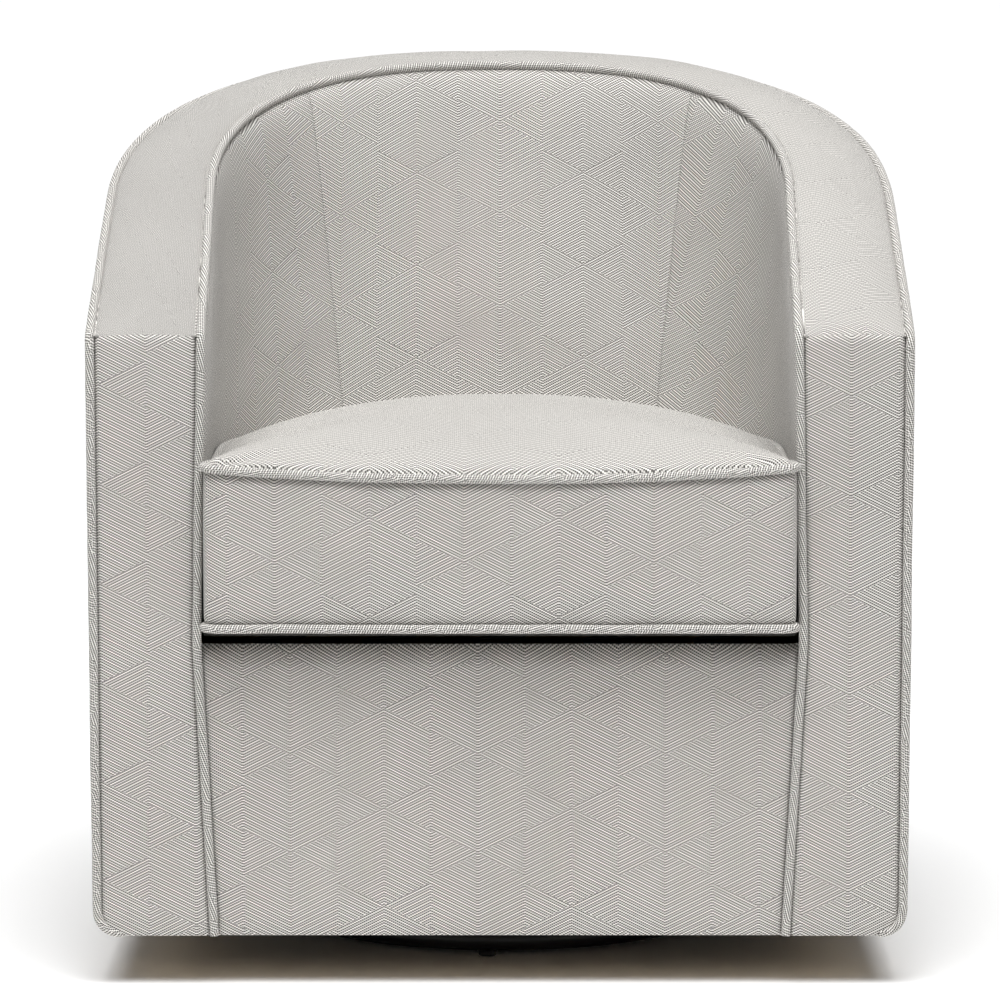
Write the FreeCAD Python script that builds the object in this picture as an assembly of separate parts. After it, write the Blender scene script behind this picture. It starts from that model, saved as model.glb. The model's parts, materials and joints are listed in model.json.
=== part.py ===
import FreeCAD, Part
import math
import os

# Swivel glider tub chair. Millimetres, +Z up, -Y to the front, origin on the floor on the swivel axis.
# "Left" and "right" are the sitter's: left is +X. "Depth" is measured back from the arm fronts.

V = FreeCAD.Vector

# ---- overall sizes -------------------------------------------------------------------------
overall_width = 765.0        # over the outer welts at the arm tops
overall_depth = 760.0        # cushion front to outside back, over its welt
crest_height = 850.0         # floor to the crest of the top band at the centre back
arm_height = 604.0           # floor to the seam where the arm front meets the top band
skirt_clearance = 46.0       # floor to the underside of the skirt
welt_diameter = 8.5
welt_stand = 1.0             # welts of the arm fronts, their centres behind the facing
cushion_overhang = 26.0      # cushion front ahead of the arm fronts

# ---- upholstered wall ----------------------------------------------------------------------
arm_width = 111.0            # inner rim to outer rim
wall_straight = 300.0        # depth over which the rim runs straight back
outer_power = 2.1            # roundness of the back in plan: 2 is an ellipse, more is squarer
inner_power = 2.25
outer_taper = 4.0            # each side is this much narrower at the skirt
outer_rake = 30.0            # the outside back leans back by this much from skirt to rim
inner_splay = 9.0            # each inner arm face opens by this much from the front to the bend
inner_rim_reach = 600.0      # depth of the inside back at the rim
inner_deck_reach = 460.0     # depth of the inside back at the deck
inner_deck_straight = 180.0  # straight run of the inside face at the deck
inner_deck_widen = 10.0      # each inner arm face is this much further out at the deck
inner_rim_height = 835.0     # inside rim at the centre back
outer_rim_height = 836.0     # outside rim at the centre back
rim_sweep_outer = 1.25       # shape of the rise from arm to back: 1 is a straight slope
rim_sweep_inner = 1.15
band_thickness = 20.0        # padding of the top band
front_pad_thickness = 12.0   # padding of the arm fronts and apron
inside_pad_thickness = 40.0  # foam of the inside arms and back
outside_panel_thickness = 5.0
skirt_round = 21.0           # the skirt turns under on this radius
arm_front_spread = 5.0       # the arm front's inner edge passes the rim by this at the skirt
piece_gap = 1.0              # clearance between neighbouring upholstered pieces
welt_recess = 3.0            # the inner welt's centre lies this deep in its seam
inside_seam_x = 172.0        # seams between inside arms and inside back
outside_seam_x = 262.0       # seams between outside arms and outside back

# ---- seat ----------------------------------------------------------------------------------
cushion_bottom = 333.0       # floor to the underside of the cushion
cushion_thickness = 147.0    # over the boxing, welt to welt
cushion_crown = 42.0         # rise of the top panel above its welt
cushion_gap = 5.0            # cushion to inside back
cushion_side_gap = 0.8       # cushion to the inner welts as it lifts out
cushion_welt_diameter = 7.5
welt_joint = 0.2             # gap where the two ends of a cushion welt meet
cover_wall = 1.5             # fabric and lining of the cushion's cover
core_gap = 0.5               # cover to foam core
zipper_width = 26.0
zipper_thickness = 1.6
deck_thickness = 11.0
deck_gap = 2.0               # under the cushion
apron_setback = 3.0          # apron behind the arm fronts

# ---- timber frame --------------------------------------------------------------------------
rail_thickness = 22.0
seat_rail_bottom = 230.0
seat_rail_top = 300.0
back_rail_depth = 466.0      # depth of the back seat rail's front face
ply_thickness = 18.0
bottom_frame_width = 46.0
post_width = 46.0
post_depth = 42.0
back_post_width = 38.0
block_leg = 62.0
board_width = 70.0
board_bolt_shift = 24.0      # bolts either side of a board's middle, clear of the back rail
board_end_gap = 3.0          # a board stops this far short of the glide rail's end
board_thickness = 25.0
top_rail_height = 55.0
top_rail_width = 32.0
top_rail_gap = 2.0           # wadding between the top rails and the covers
bottom_frame_lift = 6.0      # bottom frame above the skirt's lower edge
back_post_x = 170.0
back_post_depth = 606.0

# ---- seat springs --------------------------------------------------------------------------
spring_count = 5
spring_pitch = 104.0
spring_wire = 3.8
spring_swing = 24.0          # half the width of the zigzag
spring_loops = 15            # half waves from rail to rail
spring_arch = 11.0
plan_lead = 50.0               # straight run before the first point of a closed outline
cover_past_rail = 20.0         # dust cover behind the back rail
welt_hem = (2.4, 1.0, 0.2)     # the outer welt's turn under the skirt, in skirt rounds
welt_lead = 42.0               # the welts turn this far below the arm tops
welt_heights = (150.0, 240.0, 410.0, 490.0)
block_rise = 8.0               # corner blocks above the rails' undersides
block_trim = 20.0              # and shorter than the rails
through = 60.0                 # length of a cutter that goes right through
drill_gap = 0.2                # round a stem, ball or bolt
cage_rim = 7.0                 # cage either side of the ball circle
channel_margin = 1.0           # a cutter's overshoot at a channel's ends
web_margin = 20.0              # upright beyond its pivots, each way
spring_bends = (0.18, 0.82)    # shares of a loop at which the wire turns
spring_lift = 1.2              # wire above the rail, on the clip's floor
clip_half = 9.0
clip_height = 6.2
clip_sheet = 0.9               # thickness of a clip's steel

# ---- swivel base ---------------------------------------------------------------------------
ring_radius = 225.0          # outside of the base ring
ring_tube = 22.0
foot_count = 5
foot_diameter = 17.0
foot_height = 5.0
foot_stem = 8.0
foot_start_angle = -93.2     # degrees, the first foot is just off the front
bar_width = 40.0
bar_thickness = 6.0
bar_spacing = 124.0          # between the centres of the two base bars
plate_length = 250.0
plate_width = 170.0
plate_thickness = 2.5
plate_corner = 14.0
bolt_edge = 18.0             # bolts to the plate's ends
race_radius = 68.0
race_width = 20.0
race_height = 4.5
ball_diameter = 9.5
ball_count = 18
ball_clearance = 0.15
cage_height = 2.2
hub_diameter = 20.0
hub_clearance = 0.1
hub_flange = 30.0
bolt_diameter = 8.0
bolt_head = 14.0
bolt_head_height = 5.0
bolt_clearance = 0.3

# ---- glide linkage -------------------------------------------------------------------------
link_length = 110.0          # pivot to pivot
pivot_spacing = 170.0        # front pivots to rear pivots
lower_pivot_height = 75.0
link_width = 26.0
steel_thickness = 4.0
upright_inner_x = 150.0
bush_flange_gap = 0.5        # between a bush and the plates on either side
bush_length = 11.0
pin_diameter = 10.0
pin_clearance = 0.08
bush_diameter = 16.0
bush_flange = 20.0
pin_head = 17.0
pin_head_height = 3.0
glide_rail_length = 320.0
flange_width = 34.0
channel_height = 20.0
channel_wall = 3.0
web_height = 46.0            # solid part of the uprights and of the glide rails
ear_overlap = 20.0           # ears run into their webs by this
fit_gap = 0.02               # pins pressed into the steel
cover_thickness = 1.0

# ---- worked out ----------------------------------------------------------------------------
front_y = -overall_depth / 2 + cushion_overhang
welt_radius = welt_diameter / 2
outer_half = overall_width / 2 - welt_radius
inner_half = outer_half - arm_width
outer_rim_reach = overall_depth - cushion_overhang - welt_radius
seat_half_width = inner_half + inner_deck_widen + inside_pad_thickness + piece_gap - rail_thickness
rail_front_depth = apron_setback + front_pad_thickness + piece_gap
pad_start = front_pad_thickness + piece_gap
deck_top = cushion_bottom - deck_gap
deck_bottom = deck_top - deck_thickness
inside_pad_bottom = deck_bottom + 2.0
upper_pivot_height = lower_pivot_height + link_length
band_crown = crest_height - (inner_rim_height + outer_rim_height) / 2
board_bottom = seat_rail_bottom - board_thickness
flange_top = board_bottom - cover_thickness
bar_top = foot_height + ring_tube - 1.0
lower_plate_top = bar_top + plate_thickness
ball_height = lower_plate_top + race_height + 1.5
upper_plate_bottom = 2 * ball_height - lower_plate_top
stage_floor = upper_plate_bottom + plate_thickness


def blend(a, b, share):
    return a + (b - a) * share


def in_row(x, depth, z):
    """A point given by its depth behind the arm fronts, in the chair's own frame."""
    return V(x, depth + front_y, z)


# ---- the wall of the tub -------------------------------------------------------------------
# A station runs from 0 at the left arm front, through 1 at the centre back, to 2 at the right.
# Up to 0.5 it is on the straight arm, and from there on the rounded back.

def plan_curve(station, half, splay, straight, reach, power):
    """Plan point (x, depth) of a U: straight sides that open by splay, then a superellipse."""
    side = 1.0 if station <= 1.0 else -1.0
    s = station if station <= 1.0 else 2.0 - station
    if s <= 0.5:
        along = s / 0.5
        return side * (half + splay * along), straight * along
    angle = (s - 0.5) * math.pi
    cosine = max(math.cos(angle), 0.0) ** (2.0 / power)
    sine = math.sin(angle) ** (2.0 / power)
    return side * (half + splay) * cosine, straight + (reach - straight) * sine


def plan_normal(curve, station):
    """Unit vector in plan that points out of the U at a station."""
    if station < 1e-6 or station > 2.0 - 1e-6:
        return (1.0, 0.0) if station < 1.0 else (-1.0, 0.0)
    step = 1e-4
    (x0, d0), (x1, d1) = curve(station - step), curve(station + step)
    dx, dd = x1 - x0, d1 - d0
    length = math.hypot(dx, dd)
    return dd / length, -dx / length


def offset_point(curve, station, out, z):
    x, depth = curve(station)
    nx, nd = plan_normal(curve, station)
    return x + nx * out, depth + nd * out, z


def outer_curve(z):
    share = (z - skirt_clearance) / (outer_rim_height - skirt_clearance)
    half = blend(outer_half - outer_taper, outer_half, share)
    reach = blend(outer_rim_reach - outer_rake, outer_rim_reach, share)
    return lambda s: plan_curve(s, half, 0.0, wall_straight, reach, outer_power)


def inner_share(z):
    """0 at the deck, 1 at the inside rim."""
    return (z - deck_bottom) / (inner_rim_height - deck_bottom)


def inner_curve(z):
    share = inner_share(z)
    half = blend(inner_half + inner_deck_widen, inner_half, share)
    straight = blend(inner_deck_straight, wall_straight, share)
    reach = blend(inner_deck_reach, inner_rim_reach, share)
    return lambda s: plan_curve(s, half, inner_splay * share, straight, reach, inner_power)


def outer_face(station, z, inset=0.0):
    """Point on the outside of the wall at a height, moved into the wall by inset."""
    return offset_point(outer_curve(z), station, -inset, z)


def inner_face(station, z, inset=0.0):
    """Point on the inside of the wall at a height, moved into the wall by inset."""
    return offset_point(inner_curve(z), station, inset, z)


def rise(depth, reach, top, sweep):
    """Height of a rim at a depth: from the arm seam to top in one bowed slope."""
    left = max(1.0 - depth / reach, 0.0)
    return arm_height + (top - arm_height) * (1.0 - left ** sweep)


def outer_rim(station):
    depth = outer_curve(outer_rim_height)(station)[1]
    return rise(depth, outer_rim_reach, outer_rim_height, rim_sweep_outer)


def inner_rim(station):
    depth = inner_curve(inner_rim_height)(station)[1]
    return rise(depth, inner_rim_reach, inner_rim_height, rim_sweep_inner)


def rim_point(station, share):
    """Point on the straight line from the inner rim to the outer rim."""
    inn = inner_face(station, inner_rim(station))
    out = outer_face(station, outer_rim(station))
    return tuple(blend(p, q, share) for p, q in zip(inn, out))


def band_width(station):
    inn, out = rim_point(station, 0.0), rim_point(station, 1.0)
    return math.hypot(out[0] - inn[0], out[1] - inn[1])


def below_band(station, share, drop=0.0):
    """Point just under the band, lowered by drop."""
    x, depth, z = rim_point(station, share)
    return x, depth, z - band_thickness - piece_gap - drop


def arm_inner_edge(z):
    """Half width between the arm fronts at a height: the inside face, and flared below the deck."""
    if z >= deck_bottom:
        return inner_curve(z)(0.0)[0]
    share = (z - skirt_clearance) / (deck_bottom - skirt_clearance)
    return blend(inner_half - arm_front_spread, inner_curve(deck_bottom)(0.0)[0], share)


def arm_outer_edge(z):
    return outer_curve(z)(0.0)[0]


def stations(first=0.0):
    """Stations of a whole U, closer together round the bend."""
    straight = [first, 0.17, 0.34, 0.47]
    bend = [0.53, 0.6, 0.68, 0.76, 0.84, 0.92]
    half = straight + bend
    return half + [1.0] + [2.0 - s for s in reversed(half)]


def start_station(depth):
    return 0.5 * depth / wall_straight


def line(a, b):
    return Part.makeLine(a, b)


def loft_u(section, first):
    """Solid through a section wire at each station. A section is a list of points, and a
    3-tuple of points in it is an arc from the last point through its middle one."""
    wires = []
    for station in stations(first):
        edges, at = [], None
        for item in section(station):
            if isinstance(item, tuple) and isinstance(item[0], tuple):
                mid, end = (in_row(*p) for p in item)
                edges.append(Part.Arc(at, mid, end).toShape())
                at = end
            else:
                point = in_row(*item)
                if at is not None:
                    edges.append(line(at, point))
                at = point
        wires.append(Part.Wire(edges))
    return Part.makeLoft(wires, True, False)


def level_ends(section, first):
    """Section whose first and last stations are moved to lie in one plane, so they can be capped."""
    def flat(station):
        points = section(station)
        if first < station < 2.0 - first:
            return points
        depth = first * wall_straight / 0.5
        return [
            tuple((p[0], depth, p[2]) for p in item)
            if isinstance(item[0], tuple)
            else (item[0], depth, item[2])
            for item in points
        ]
    return flat


def wall_piece(section, start_depth=pad_start):
    first = start_station(start_depth)
    return loft_u(level_ends(section, first), first)


def within(shape, low_x, high_x):
    """The part of a shape between two planes across X."""
    box = Part.makeBox(high_x - low_x, 2000, 2000, V(low_x, -1000, -500))
    return shape.common(box)


def split_wall(shape, seam):
    """(left arm, back, right arm) of a whole U, cut at seams either side of the back."""
    half_gap = piece_gap / 2
    left = within(shape, seam + half_gap, 1000)
    back = within(shape, -seam + half_gap, seam - half_gap)
    return left, back, mirror(left)


def mirror(shape):
    return shape.mirror(V(0, 0, 0), V(1, 0, 0))


# ---- upholstered pieces --------------------------------------------------------------------

def outside_section(station):
    low, turn, thick = skirt_clearance, skirt_round, outside_panel_thickness
    inside_share = 1.0 - thick / band_width(station)
    top = below_band(station, 1.0)
    slant = turn * (1 - math.sqrt(0.5))
    inner_turn = turn - thick
    inner_slant = thick + inner_turn * (1 - math.sqrt(0.5))
    lifted = low + thick + inner_turn * (1 - math.sqrt(0.5))
    return [
        top,
        outer_face(station, low + turn),
        (outer_face(station, low + slant, slant), outer_face(station, low, turn)),
        outer_face(station, low + thick, turn),
        (outer_face(station, lifted, inner_slant), outer_face(station, low + turn, thick)),
        below_band(station, inside_share),
        top,
    ]


def inside_section(station):
    thick = inside_pad_thickness
    return [
        inner_face(station, inside_pad_bottom),
        below_band(station, 0.0),
        below_band(station, thick / band_width(station)),
        inner_face(station, inside_pad_bottom, thick),
        inner_face(station, inside_pad_bottom),
    ]


def band_section(station):
    a, b = rim_point(station, 1.0), rim_point(station, 0.0)
    x, depth, z = rim_point(station, 0.5)
    mid = (x, depth, z + band_crown)
    return [
        a,
        (mid, b),
        (b[0], b[1], b[2] - band_thickness),
        (a[0], a[1], a[2] - band_thickness),
        a,
    ]


def top_rail_section(station):
    """Curved rail of plywood under the band, against the outside panel."""
    near = outside_panel_thickness + 2 * top_rail_gap
    near_share = 1.0 - near / band_width(station)
    far_share = 1.0 - (near + top_rail_width) / band_width(station)
    low = top_rail_gap + top_rail_height
    return [
        below_band(station, near_share, top_rail_gap),
        below_band(station, far_share, top_rail_gap),
        below_band(station, far_share, low),
        below_band(station, near_share, low),
        below_band(station, near_share, top_rail_gap),
    ]


def bottom_frame_section(station):
    low = skirt_clearance + bottom_frame_lift
    near = skirt_round
    far = near + bottom_frame_width
    return [
        outer_face(station, low, near),
        outer_face(station, low, far),
        outer_face(station, low + ply_thickness, far),
        outer_face(station, low + ply_thickness, near),
        outer_face(station, low, near),
    ]


def prism(points, start, end):
    """Solid between two depths whose front outline is a list of (x, z) points."""
    wire = Part.makePolygon([in_row(x, start, z) for x, z in points + points[:1]])
    return Part.Face(wire).extrude(V(0, end - start, 0))


def arm_front_pad():
    """Padded facing of the left arm, with its outer bottom corner on the skirt's radius."""
    bottom, top = skirt_clearance, arm_height - piece_gap
    outer_low = arm_outer_edge(bottom)
    turn = skirt_round
    slant = turn * (1 - math.sqrt(0.5))
    inner_bottom = in_row(arm_inner_edge(bottom), 0, bottom)
    under = in_row(outer_low - turn, 0, bottom)
    side = in_row(outer_low, 0, bottom + turn)
    mid = in_row(outer_low - slant, 0, bottom + slant)
    outer_top = in_row(arm_outer_edge(top), 0, top)
    inner_top = in_row(arm_inner_edge(top), 0, top)
    inner_deck = in_row(arm_inner_edge(deck_bottom), 0, deck_bottom)
    edges = [
        line(inner_bottom, under), Part.Arc(under, mid, side).toShape(), line(side, outer_top),
        line(outer_top, inner_top), line(inner_top, inner_deck), line(inner_deck, inner_bottom),
    ]
    return Part.Face(Part.Wire(edges)).extrude(V(0, front_pad_thickness, 0))


def apron():
    """Facing under the cushion, between the inner welts."""
    bottom, top = skirt_clearance, deck_bottom - piece_gap
    inside = welt_recess - welt_radius - piece_gap
    low_half = arm_inner_edge(bottom) + inside
    top_half = arm_inner_edge(top) + inside
    outline = [(-low_half, bottom), (low_half, bottom), (top_half, top), (-top_half, top)]
    return prism(outline, apron_setback, apron_setback + front_pad_thickness)


def closed_plan(curve, z, front):
    """Wire at a height: a U from the curve, closed by straight sides and a straight front."""
    first = start_station(max(front, 0.0) + plan_lead)
    count = 9
    half = [first + (1.0 - first) * i / count for i in range(count)]
    around = half + [1.0] + [2.0 - s for s in reversed(half)]
    points = [in_row(*curve(s), z) for s in around]
    y = in_row(0, front, z).y
    left, right = V(points[0].x, y, z), V(points[-1].x, y, z)
    back = Part.BSplineCurve()
    back.interpolate(points)
    return Part.Wire([
        line(right, left), line(left, points[0]), back.toShape(), line(points[-1], right),
    ])


def cushion_curve(z, inset):
    """The cushion's sides stand plumb, just inside the inner welts, and its back is raked."""
    half = arm_inner_edge(arm_height) + welt_recess - welt_radius - cushion_side_gap
    splay = inner_splay * inner_share(cushion_bottom)
    straight = blend(inner_deck_straight, wall_straight, inner_share(z))
    reach = blend(inner_deck_reach, inner_rim_reach, inner_share(z)) - cushion_gap
    return lambda s: plan_curve(s, half - inset, splay, straight, reach - inset, inner_power)


def cushion_form(inset):
    """Boxed form with a crowned top, moved inwards all over by inset."""
    front = inset - cushion_overhang
    bottom, welt = cushion_bottom + inset, cushion_bottom + cushion_thickness - inset
    body = Part.makeLoft([
        closed_plan(cushion_curve(bottom, inset), bottom, front),
        closed_plan(cushion_curve(welt, inset), welt, front),
    ], True, True)
    outlines = []
    for rise_share, margin in ((0.0, 0.0), (0.5, 26.0), (0.82, 66.0), (1.0, 130.0)):
        wire = closed_plan(cushion_curve(welt, inset + margin), welt, front + margin)
        wire.translate(V(0, 0, rise_share * cushion_crown))
        outlines.append(wire)
    return body.fuse(Part.makeLoft(outlines, True, True))


def cushion_cover():
    return cushion_form(0.0).cut(cushion_form(cover_wall))


def cushion_zipper():
    """Zipper tape along the back of the boxing."""
    middle = cushion_bottom + cushion_thickness / 2
    low, high = middle - zipper_width / 2, middle + zipper_width / 2
    low_curve, high_curve = cushion_curve(low, 0.0), cushion_curve(high, 0.0)
    wires = []
    for station in (0.7, 0.78, 0.86, 0.93, 1.0, 1.07, 1.14, 1.22, 1.3):
        nx, nd = plan_normal(cushion_curve(middle, 0.0), station)
        thick = V(nx, nd, 0) * zipper_thickness
        bottom = in_row(*offset_point(low_curve, station, piece_gap, low))
        top = in_row(*offset_point(high_curve, station, piece_gap, high))
        wires.append(Part.makePolygon([bottom, bottom + thick, top + thick, top, bottom]))
    return Part.makeLoft(wires, True, True)


def deck_pad():
    inner = inner_curve(deck_bottom)

    def curve(station):
        return offset_point(inner, station, -2 * piece_gap, 0.0)[:2]

    return Part.Face(closed_plan(curve, deck_bottom, apron_setback)).extrude(V(0, 0, deck_thickness))


def dust_cover():
    """Cloth under the seat frame, cut to the outline of the seat rails, with the bolts' holes."""
    half = seat_half_width + rail_thickness - piece_gap
    far = back_rail_depth + rail_thickness + cover_past_rail
    corner = 60.0
    near = rail_front_depth
    outline = [(-half, near), (half, near), (half, far - corner), (half - corner, far),
               (-half + corner, far), (-half, far - corner)]
    wire = Part.makePolygon([in_row(x, d, flange_top) for x, d in outline + outline[:1]])
    cover = Part.Face(wire).extrude(V(0, 0, cover_thickness))
    return cover.cut(rail_bolt_holes())


# ---- round section along a path ------------------------------------------------------------

def rounded_path(points, share=0.45):
    """Straight runs joined by tangent arcs, each as large as its two runs allow."""
    edges, at = [], points[0]
    for before, corner, after in zip(points, points[1:], points[2:]):
        inward, outward = before - corner, after - corner
        cut = share * min(inward.Length, outward.Length)
        inward.normalize()
        outward.normalize()
        start, end = corner + inward * cut, corner + outward * cut
        turn = math.pi - inward.getAngle(outward)
        if turn < 1e-3:
            continue
        middle = (inward + outward).normalize()
        radius = cut / math.tan(turn / 2)
        reach = radius / math.cos(turn / 2) - radius
        edges.append(line(at, start))
        edges.append(Part.Arc(start, corner + middle * reach, end).toShape())
        at = end
    edges.append(line(at, points[-1]))
    return Part.Wire(edges)


def tube_along(points, diameter):
    path = rounded_path(points)
    direction = points[1] - points[0]
    ring = Part.Wire(Part.makeCircle(diameter / 2, points[0], direction))
    return path.makePipeShell([ring], True, False)


def arm_edge(edge, turn):
    """Points of a welt up one edge of an arm front, which may start under the skirt."""
    depth = welt_stand
    low = skirt_clearance
    points = [in_row(edge(low), depth, low)]
    if turn:
        start, bend, rise_from = [edge(low) - share * turn for share in welt_hem]
        points = [in_row(start, depth, low), in_row(bend, depth, low),
                  in_row(rise_from, depth, low + edge(low) - rise_from),
                  in_row(edge(low), depth, low + turn)]
    for z in sorted(welt_heights + (deck_bottom, arm_height - welt_lead)):
        points.append(in_row(edge(z), depth, z))
    return points


def welt(face, rim, edge, turn, recess):
    """Fabric-covered cord up one arm front, round the rim and down the other arm front."""
    left = arm_edge(lambda z: edge(z) + recess, turn)
    half = [0.03, 0.12, 0.22, 0.32, 0.42, 0.5, 0.56, 0.62, 0.68, 0.74, 0.8, 0.86, 0.92, 0.97]
    around = half + [2.0 - s for s in reversed(half)]
    corner = V(edge(arm_height) + recess, in_row(0, welt_stand, 0).y, arm_height)
    over = [in_row(*face(s, rim(s), recess)) for s in around]
    right = [V(-p.x, p.y, p.z) for p in reversed(left + [corner])]
    return tube_along(left + [corner] + over + right, welt_diameter)


def outer_welt():
    return welt(outer_face, outer_rim, arm_outer_edge, skirt_round, 0.0)


def inner_welt():
    return welt(inner_face, inner_rim, arm_inner_edge, 0.0, welt_recess)


def cushion_welt(z):
    """Welt round the cushion at a height, half sunk in its seam; its ends meet at the back."""
    curve = cushion_curve(z, welt_radius)
    front = welt_radius - cushion_overhang
    half = [0.1, 0.22, 0.34, 0.44, 0.52, 0.6, 0.68, 0.76, 0.84, 0.92, 0.98]
    side = [in_row(*curve(s), z) for s in half]
    corner, y = side[0].x, in_row(0, front, 0).y
    turn = 4 * welt_radius
    back = in_row(*curve(1.0), z)
    joint = V(welt_joint / 2, back.y, z)
    lead = [V(corner, y + turn, z), V(corner - turn, y, z)]
    left = [joint] + side[::-1] + lead
    right = [V(-p.x, p.y, p.z) for p in reversed(left)]
    return tube_along(left + right, cushion_welt_diameter)


def cushion_welts():
    levels = (cushion_bottom + welt_radius, cushion_bottom + cushion_thickness - welt_radius)
    return Part.makeCompound([cushion_welt(z) for z in levels])


# ---- timber frame --------------------------------------------------------------------------

def block(x0, x1, d0, d1, z0, z1):
    corner = in_row(min(x0, x1), d0, z0)
    return Part.makeBox(abs(x1 - x0), d1 - d0, z1 - z0, corner)


def seat_rails():
    half, thick = seat_half_width, rail_thickness
    low, top = seat_rail_bottom, seat_rail_top
    front = rail_front_depth
    back = back_rail_depth + thick
    return {
        "seat_rail_front": block(-half, half, front, front + thick, low, top),
        "seat_rail_back": block(-half, half, back_rail_depth, back, low, top),
        "seat_rail_left": block(half, half + thick, front, back, low, top),
        "seat_rail_right": block(-half - thick, -half, front, back, low, top),
    }


def corner_blocks():
    half = seat_half_width
    front = rail_front_depth + rail_thickness
    back = back_rail_depth
    blocks = []
    for x, sx in ((half, -1), (-half, 1)):
        for d, sd in ((front, 1), (back, -1)):
            corners = [(x, d), (x + sx * block_leg, d), (x, d + sd * block_leg)]
            wire = Part.makePolygon(
                [in_row(px, pd, seat_rail_bottom + block_rise) for px, pd in corners + corners[:1]])
            height = seat_rail_top - seat_rail_bottom - block_trim
            blocks.append(Part.Face(wire).extrude(V(0, 0, height)))
    return Part.makeCompound(blocks)


def front_posts():
    """Arm posts on the bottom frame, against the side rails and behind the arm fronts."""
    low = skirt_clearance + bottom_frame_lift + ply_thickness
    top = below_band(0.0, 1.0, top_rail_height + 3 * top_rail_gap)[2]
    inner = seat_half_width + rail_thickness
    start = pad_start + piece_gap
    left = block(inner, inner + post_width, start, start + post_depth, low, top)
    return Part.makeCompound([left, mirror(left)])


def back_posts():
    low = skirt_clearance + bottom_frame_lift + ply_thickness
    top = outer_rim(0.75) - band_thickness - top_rail_height - post_width / 2
    half = back_post_width / 2
    far = back_post_depth + back_post_width
    left = block(back_post_x - half, back_post_x + half, back_post_depth, far, low, top)
    return Part.makeCompound([left, mirror(left)])


def bottom_rail_front():
    low = skirt_clearance + bottom_frame_lift
    half = arm_outer_edge(low) - skirt_round - bottom_frame_width - 3 * piece_gap
    end = rail_front_depth + bottom_frame_width
    return block(-half, half, rail_front_depth, end, low, low + ply_thickness)


def board_centre():
    return glide_rail_length / 2 - board_width / 2 - board_end_gap


def outside_half(depth, z):
    """Half width of the outside at a depth and height, the station found by halving."""
    curve, low, high = outer_curve(z), 0.0, 1.0
    for _ in range(24):
        middle = (low + high) / 2
        low, high = (middle, high) if curve(middle)[1] < depth else (low, middle)
    return curve(low)[0]


def mounting_boards():
    """Boards across the underside of the side rails that the glide rails bolt up to."""
    far = board_centre() + board_width / 2 - front_y
    room = outside_half(far, board_bottom) - outside_panel_thickness - 3 * piece_gap
    half = min(seat_half_width + rail_thickness, room)
    boards = []
    for end in (-1, 1):
        low = V(-half, end * board_centre() - board_width / 2, board_bottom)
        board = Part.makeBox(2 * half, board_width, board_thickness, low)
        boards.append(board.cut(rail_bolt_holes()))
    return Part.makeCompound(boards)


# ---- springs -------------------------------------------------------------------------------

def spring(x):
    """One zigzag spring from the front rail to the back rail, arched upwards."""
    front = rail_front_depth + rail_thickness / 2
    back = back_rail_depth + rail_thickness / 2
    base = seat_rail_top + spring_wire / 2 + spring_lift
    step = (back - front) / spring_loops
    points = [in_row(x - spring_swing * 0.2, front, base)]
    for i in range(spring_loops):
        side = spring_swing if i % 2 else -spring_swing
        for k in spring_bends:
            depth = front + step * (i + k)
            arch = spring_arch * math.sin(math.pi * (depth - front) / (back - front))
            points.append(in_row(x + side, depth, base + arch))
    points.append(in_row(x + spring_swing * 0.2, back, base))
    return tube_along(points, spring_wire)


def spring_positions():
    return [(i - (spring_count - 1) / 2) * spring_pitch for i in range(spring_count)]


def spring_clips():
    """Folded steel clips on the rails, each open to the wire that it holds."""
    clips, inside = [], clip_half - clip_sheet
    front = rail_front_depth + rail_thickness / 2
    back = back_rail_depth + rail_thickness / 2
    for x in spring_positions():
        for depth in (front, back):
            body = block(x - clip_half, x + clip_half, depth - clip_half, depth + clip_half,
                         seat_rail_top, seat_rail_top + clip_height)
            slot = block(x - 2 * clip_half, x + 2 * clip_half, depth - inside, depth + inside,
                         seat_rail_top + clip_sheet, seat_rail_top + clip_height - clip_sheet)
            clips.append(body.cut(slot))
    return Part.makeCompound(clips)


# ---- swivel base ---------------------------------------------------------------------------

def foot_places():
    radius = ring_radius - ring_tube / 2
    for i in range(foot_count):
        angle = math.radians(foot_start_angle + 360.0 * i / foot_count)
        yield radius * math.cos(angle), radius * math.sin(angle)


def base_ring():
    radius = ring_radius - ring_tube / 2
    ring = Part.makeTorus(radius, ring_tube / 2, V(0, 0, foot_height + ring_tube / 2))
    for x, y in foot_places():
        hole = Part.makeCylinder(foot_stem / 2 + drill_gap, ring_tube / 2, V(x, y, foot_height - 1))
        ring = ring.cut(hole)
    return ring


def base_feet():
    """Moulded glides with a rounded lower edge, each on a stem in the ring."""
    feet = []
    for x, y in foot_places():
        pad = Part.makeCylinder(foot_diameter / 2, foot_height, V(x, y, 0))
        low = [e for e in pad.Edges if e.BoundBox.ZMax < 0.01]
        pad = pad.makeFillet(1.5, low)
        stem = Part.makeCylinder(foot_stem / 2, foot_height + 4, V(x, y, foot_height - 1))
        feet.append(pad.fuse(stem))
    return Part.makeCompound(feet)


def bolt_places():
    for x in (bolt_edge - plate_length / 2, plate_length / 2 - bolt_edge):
        for y in (-bar_spacing / 2, bar_spacing / 2):
            yield x, y


def bolt_hole(x, y, z, depth):
    """Cutter for a bolt's clearance hole, from z upwards."""
    return Part.makeCylinder(bolt_diameter / 2 + bolt_clearance, depth, V(x, y, z))


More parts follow.
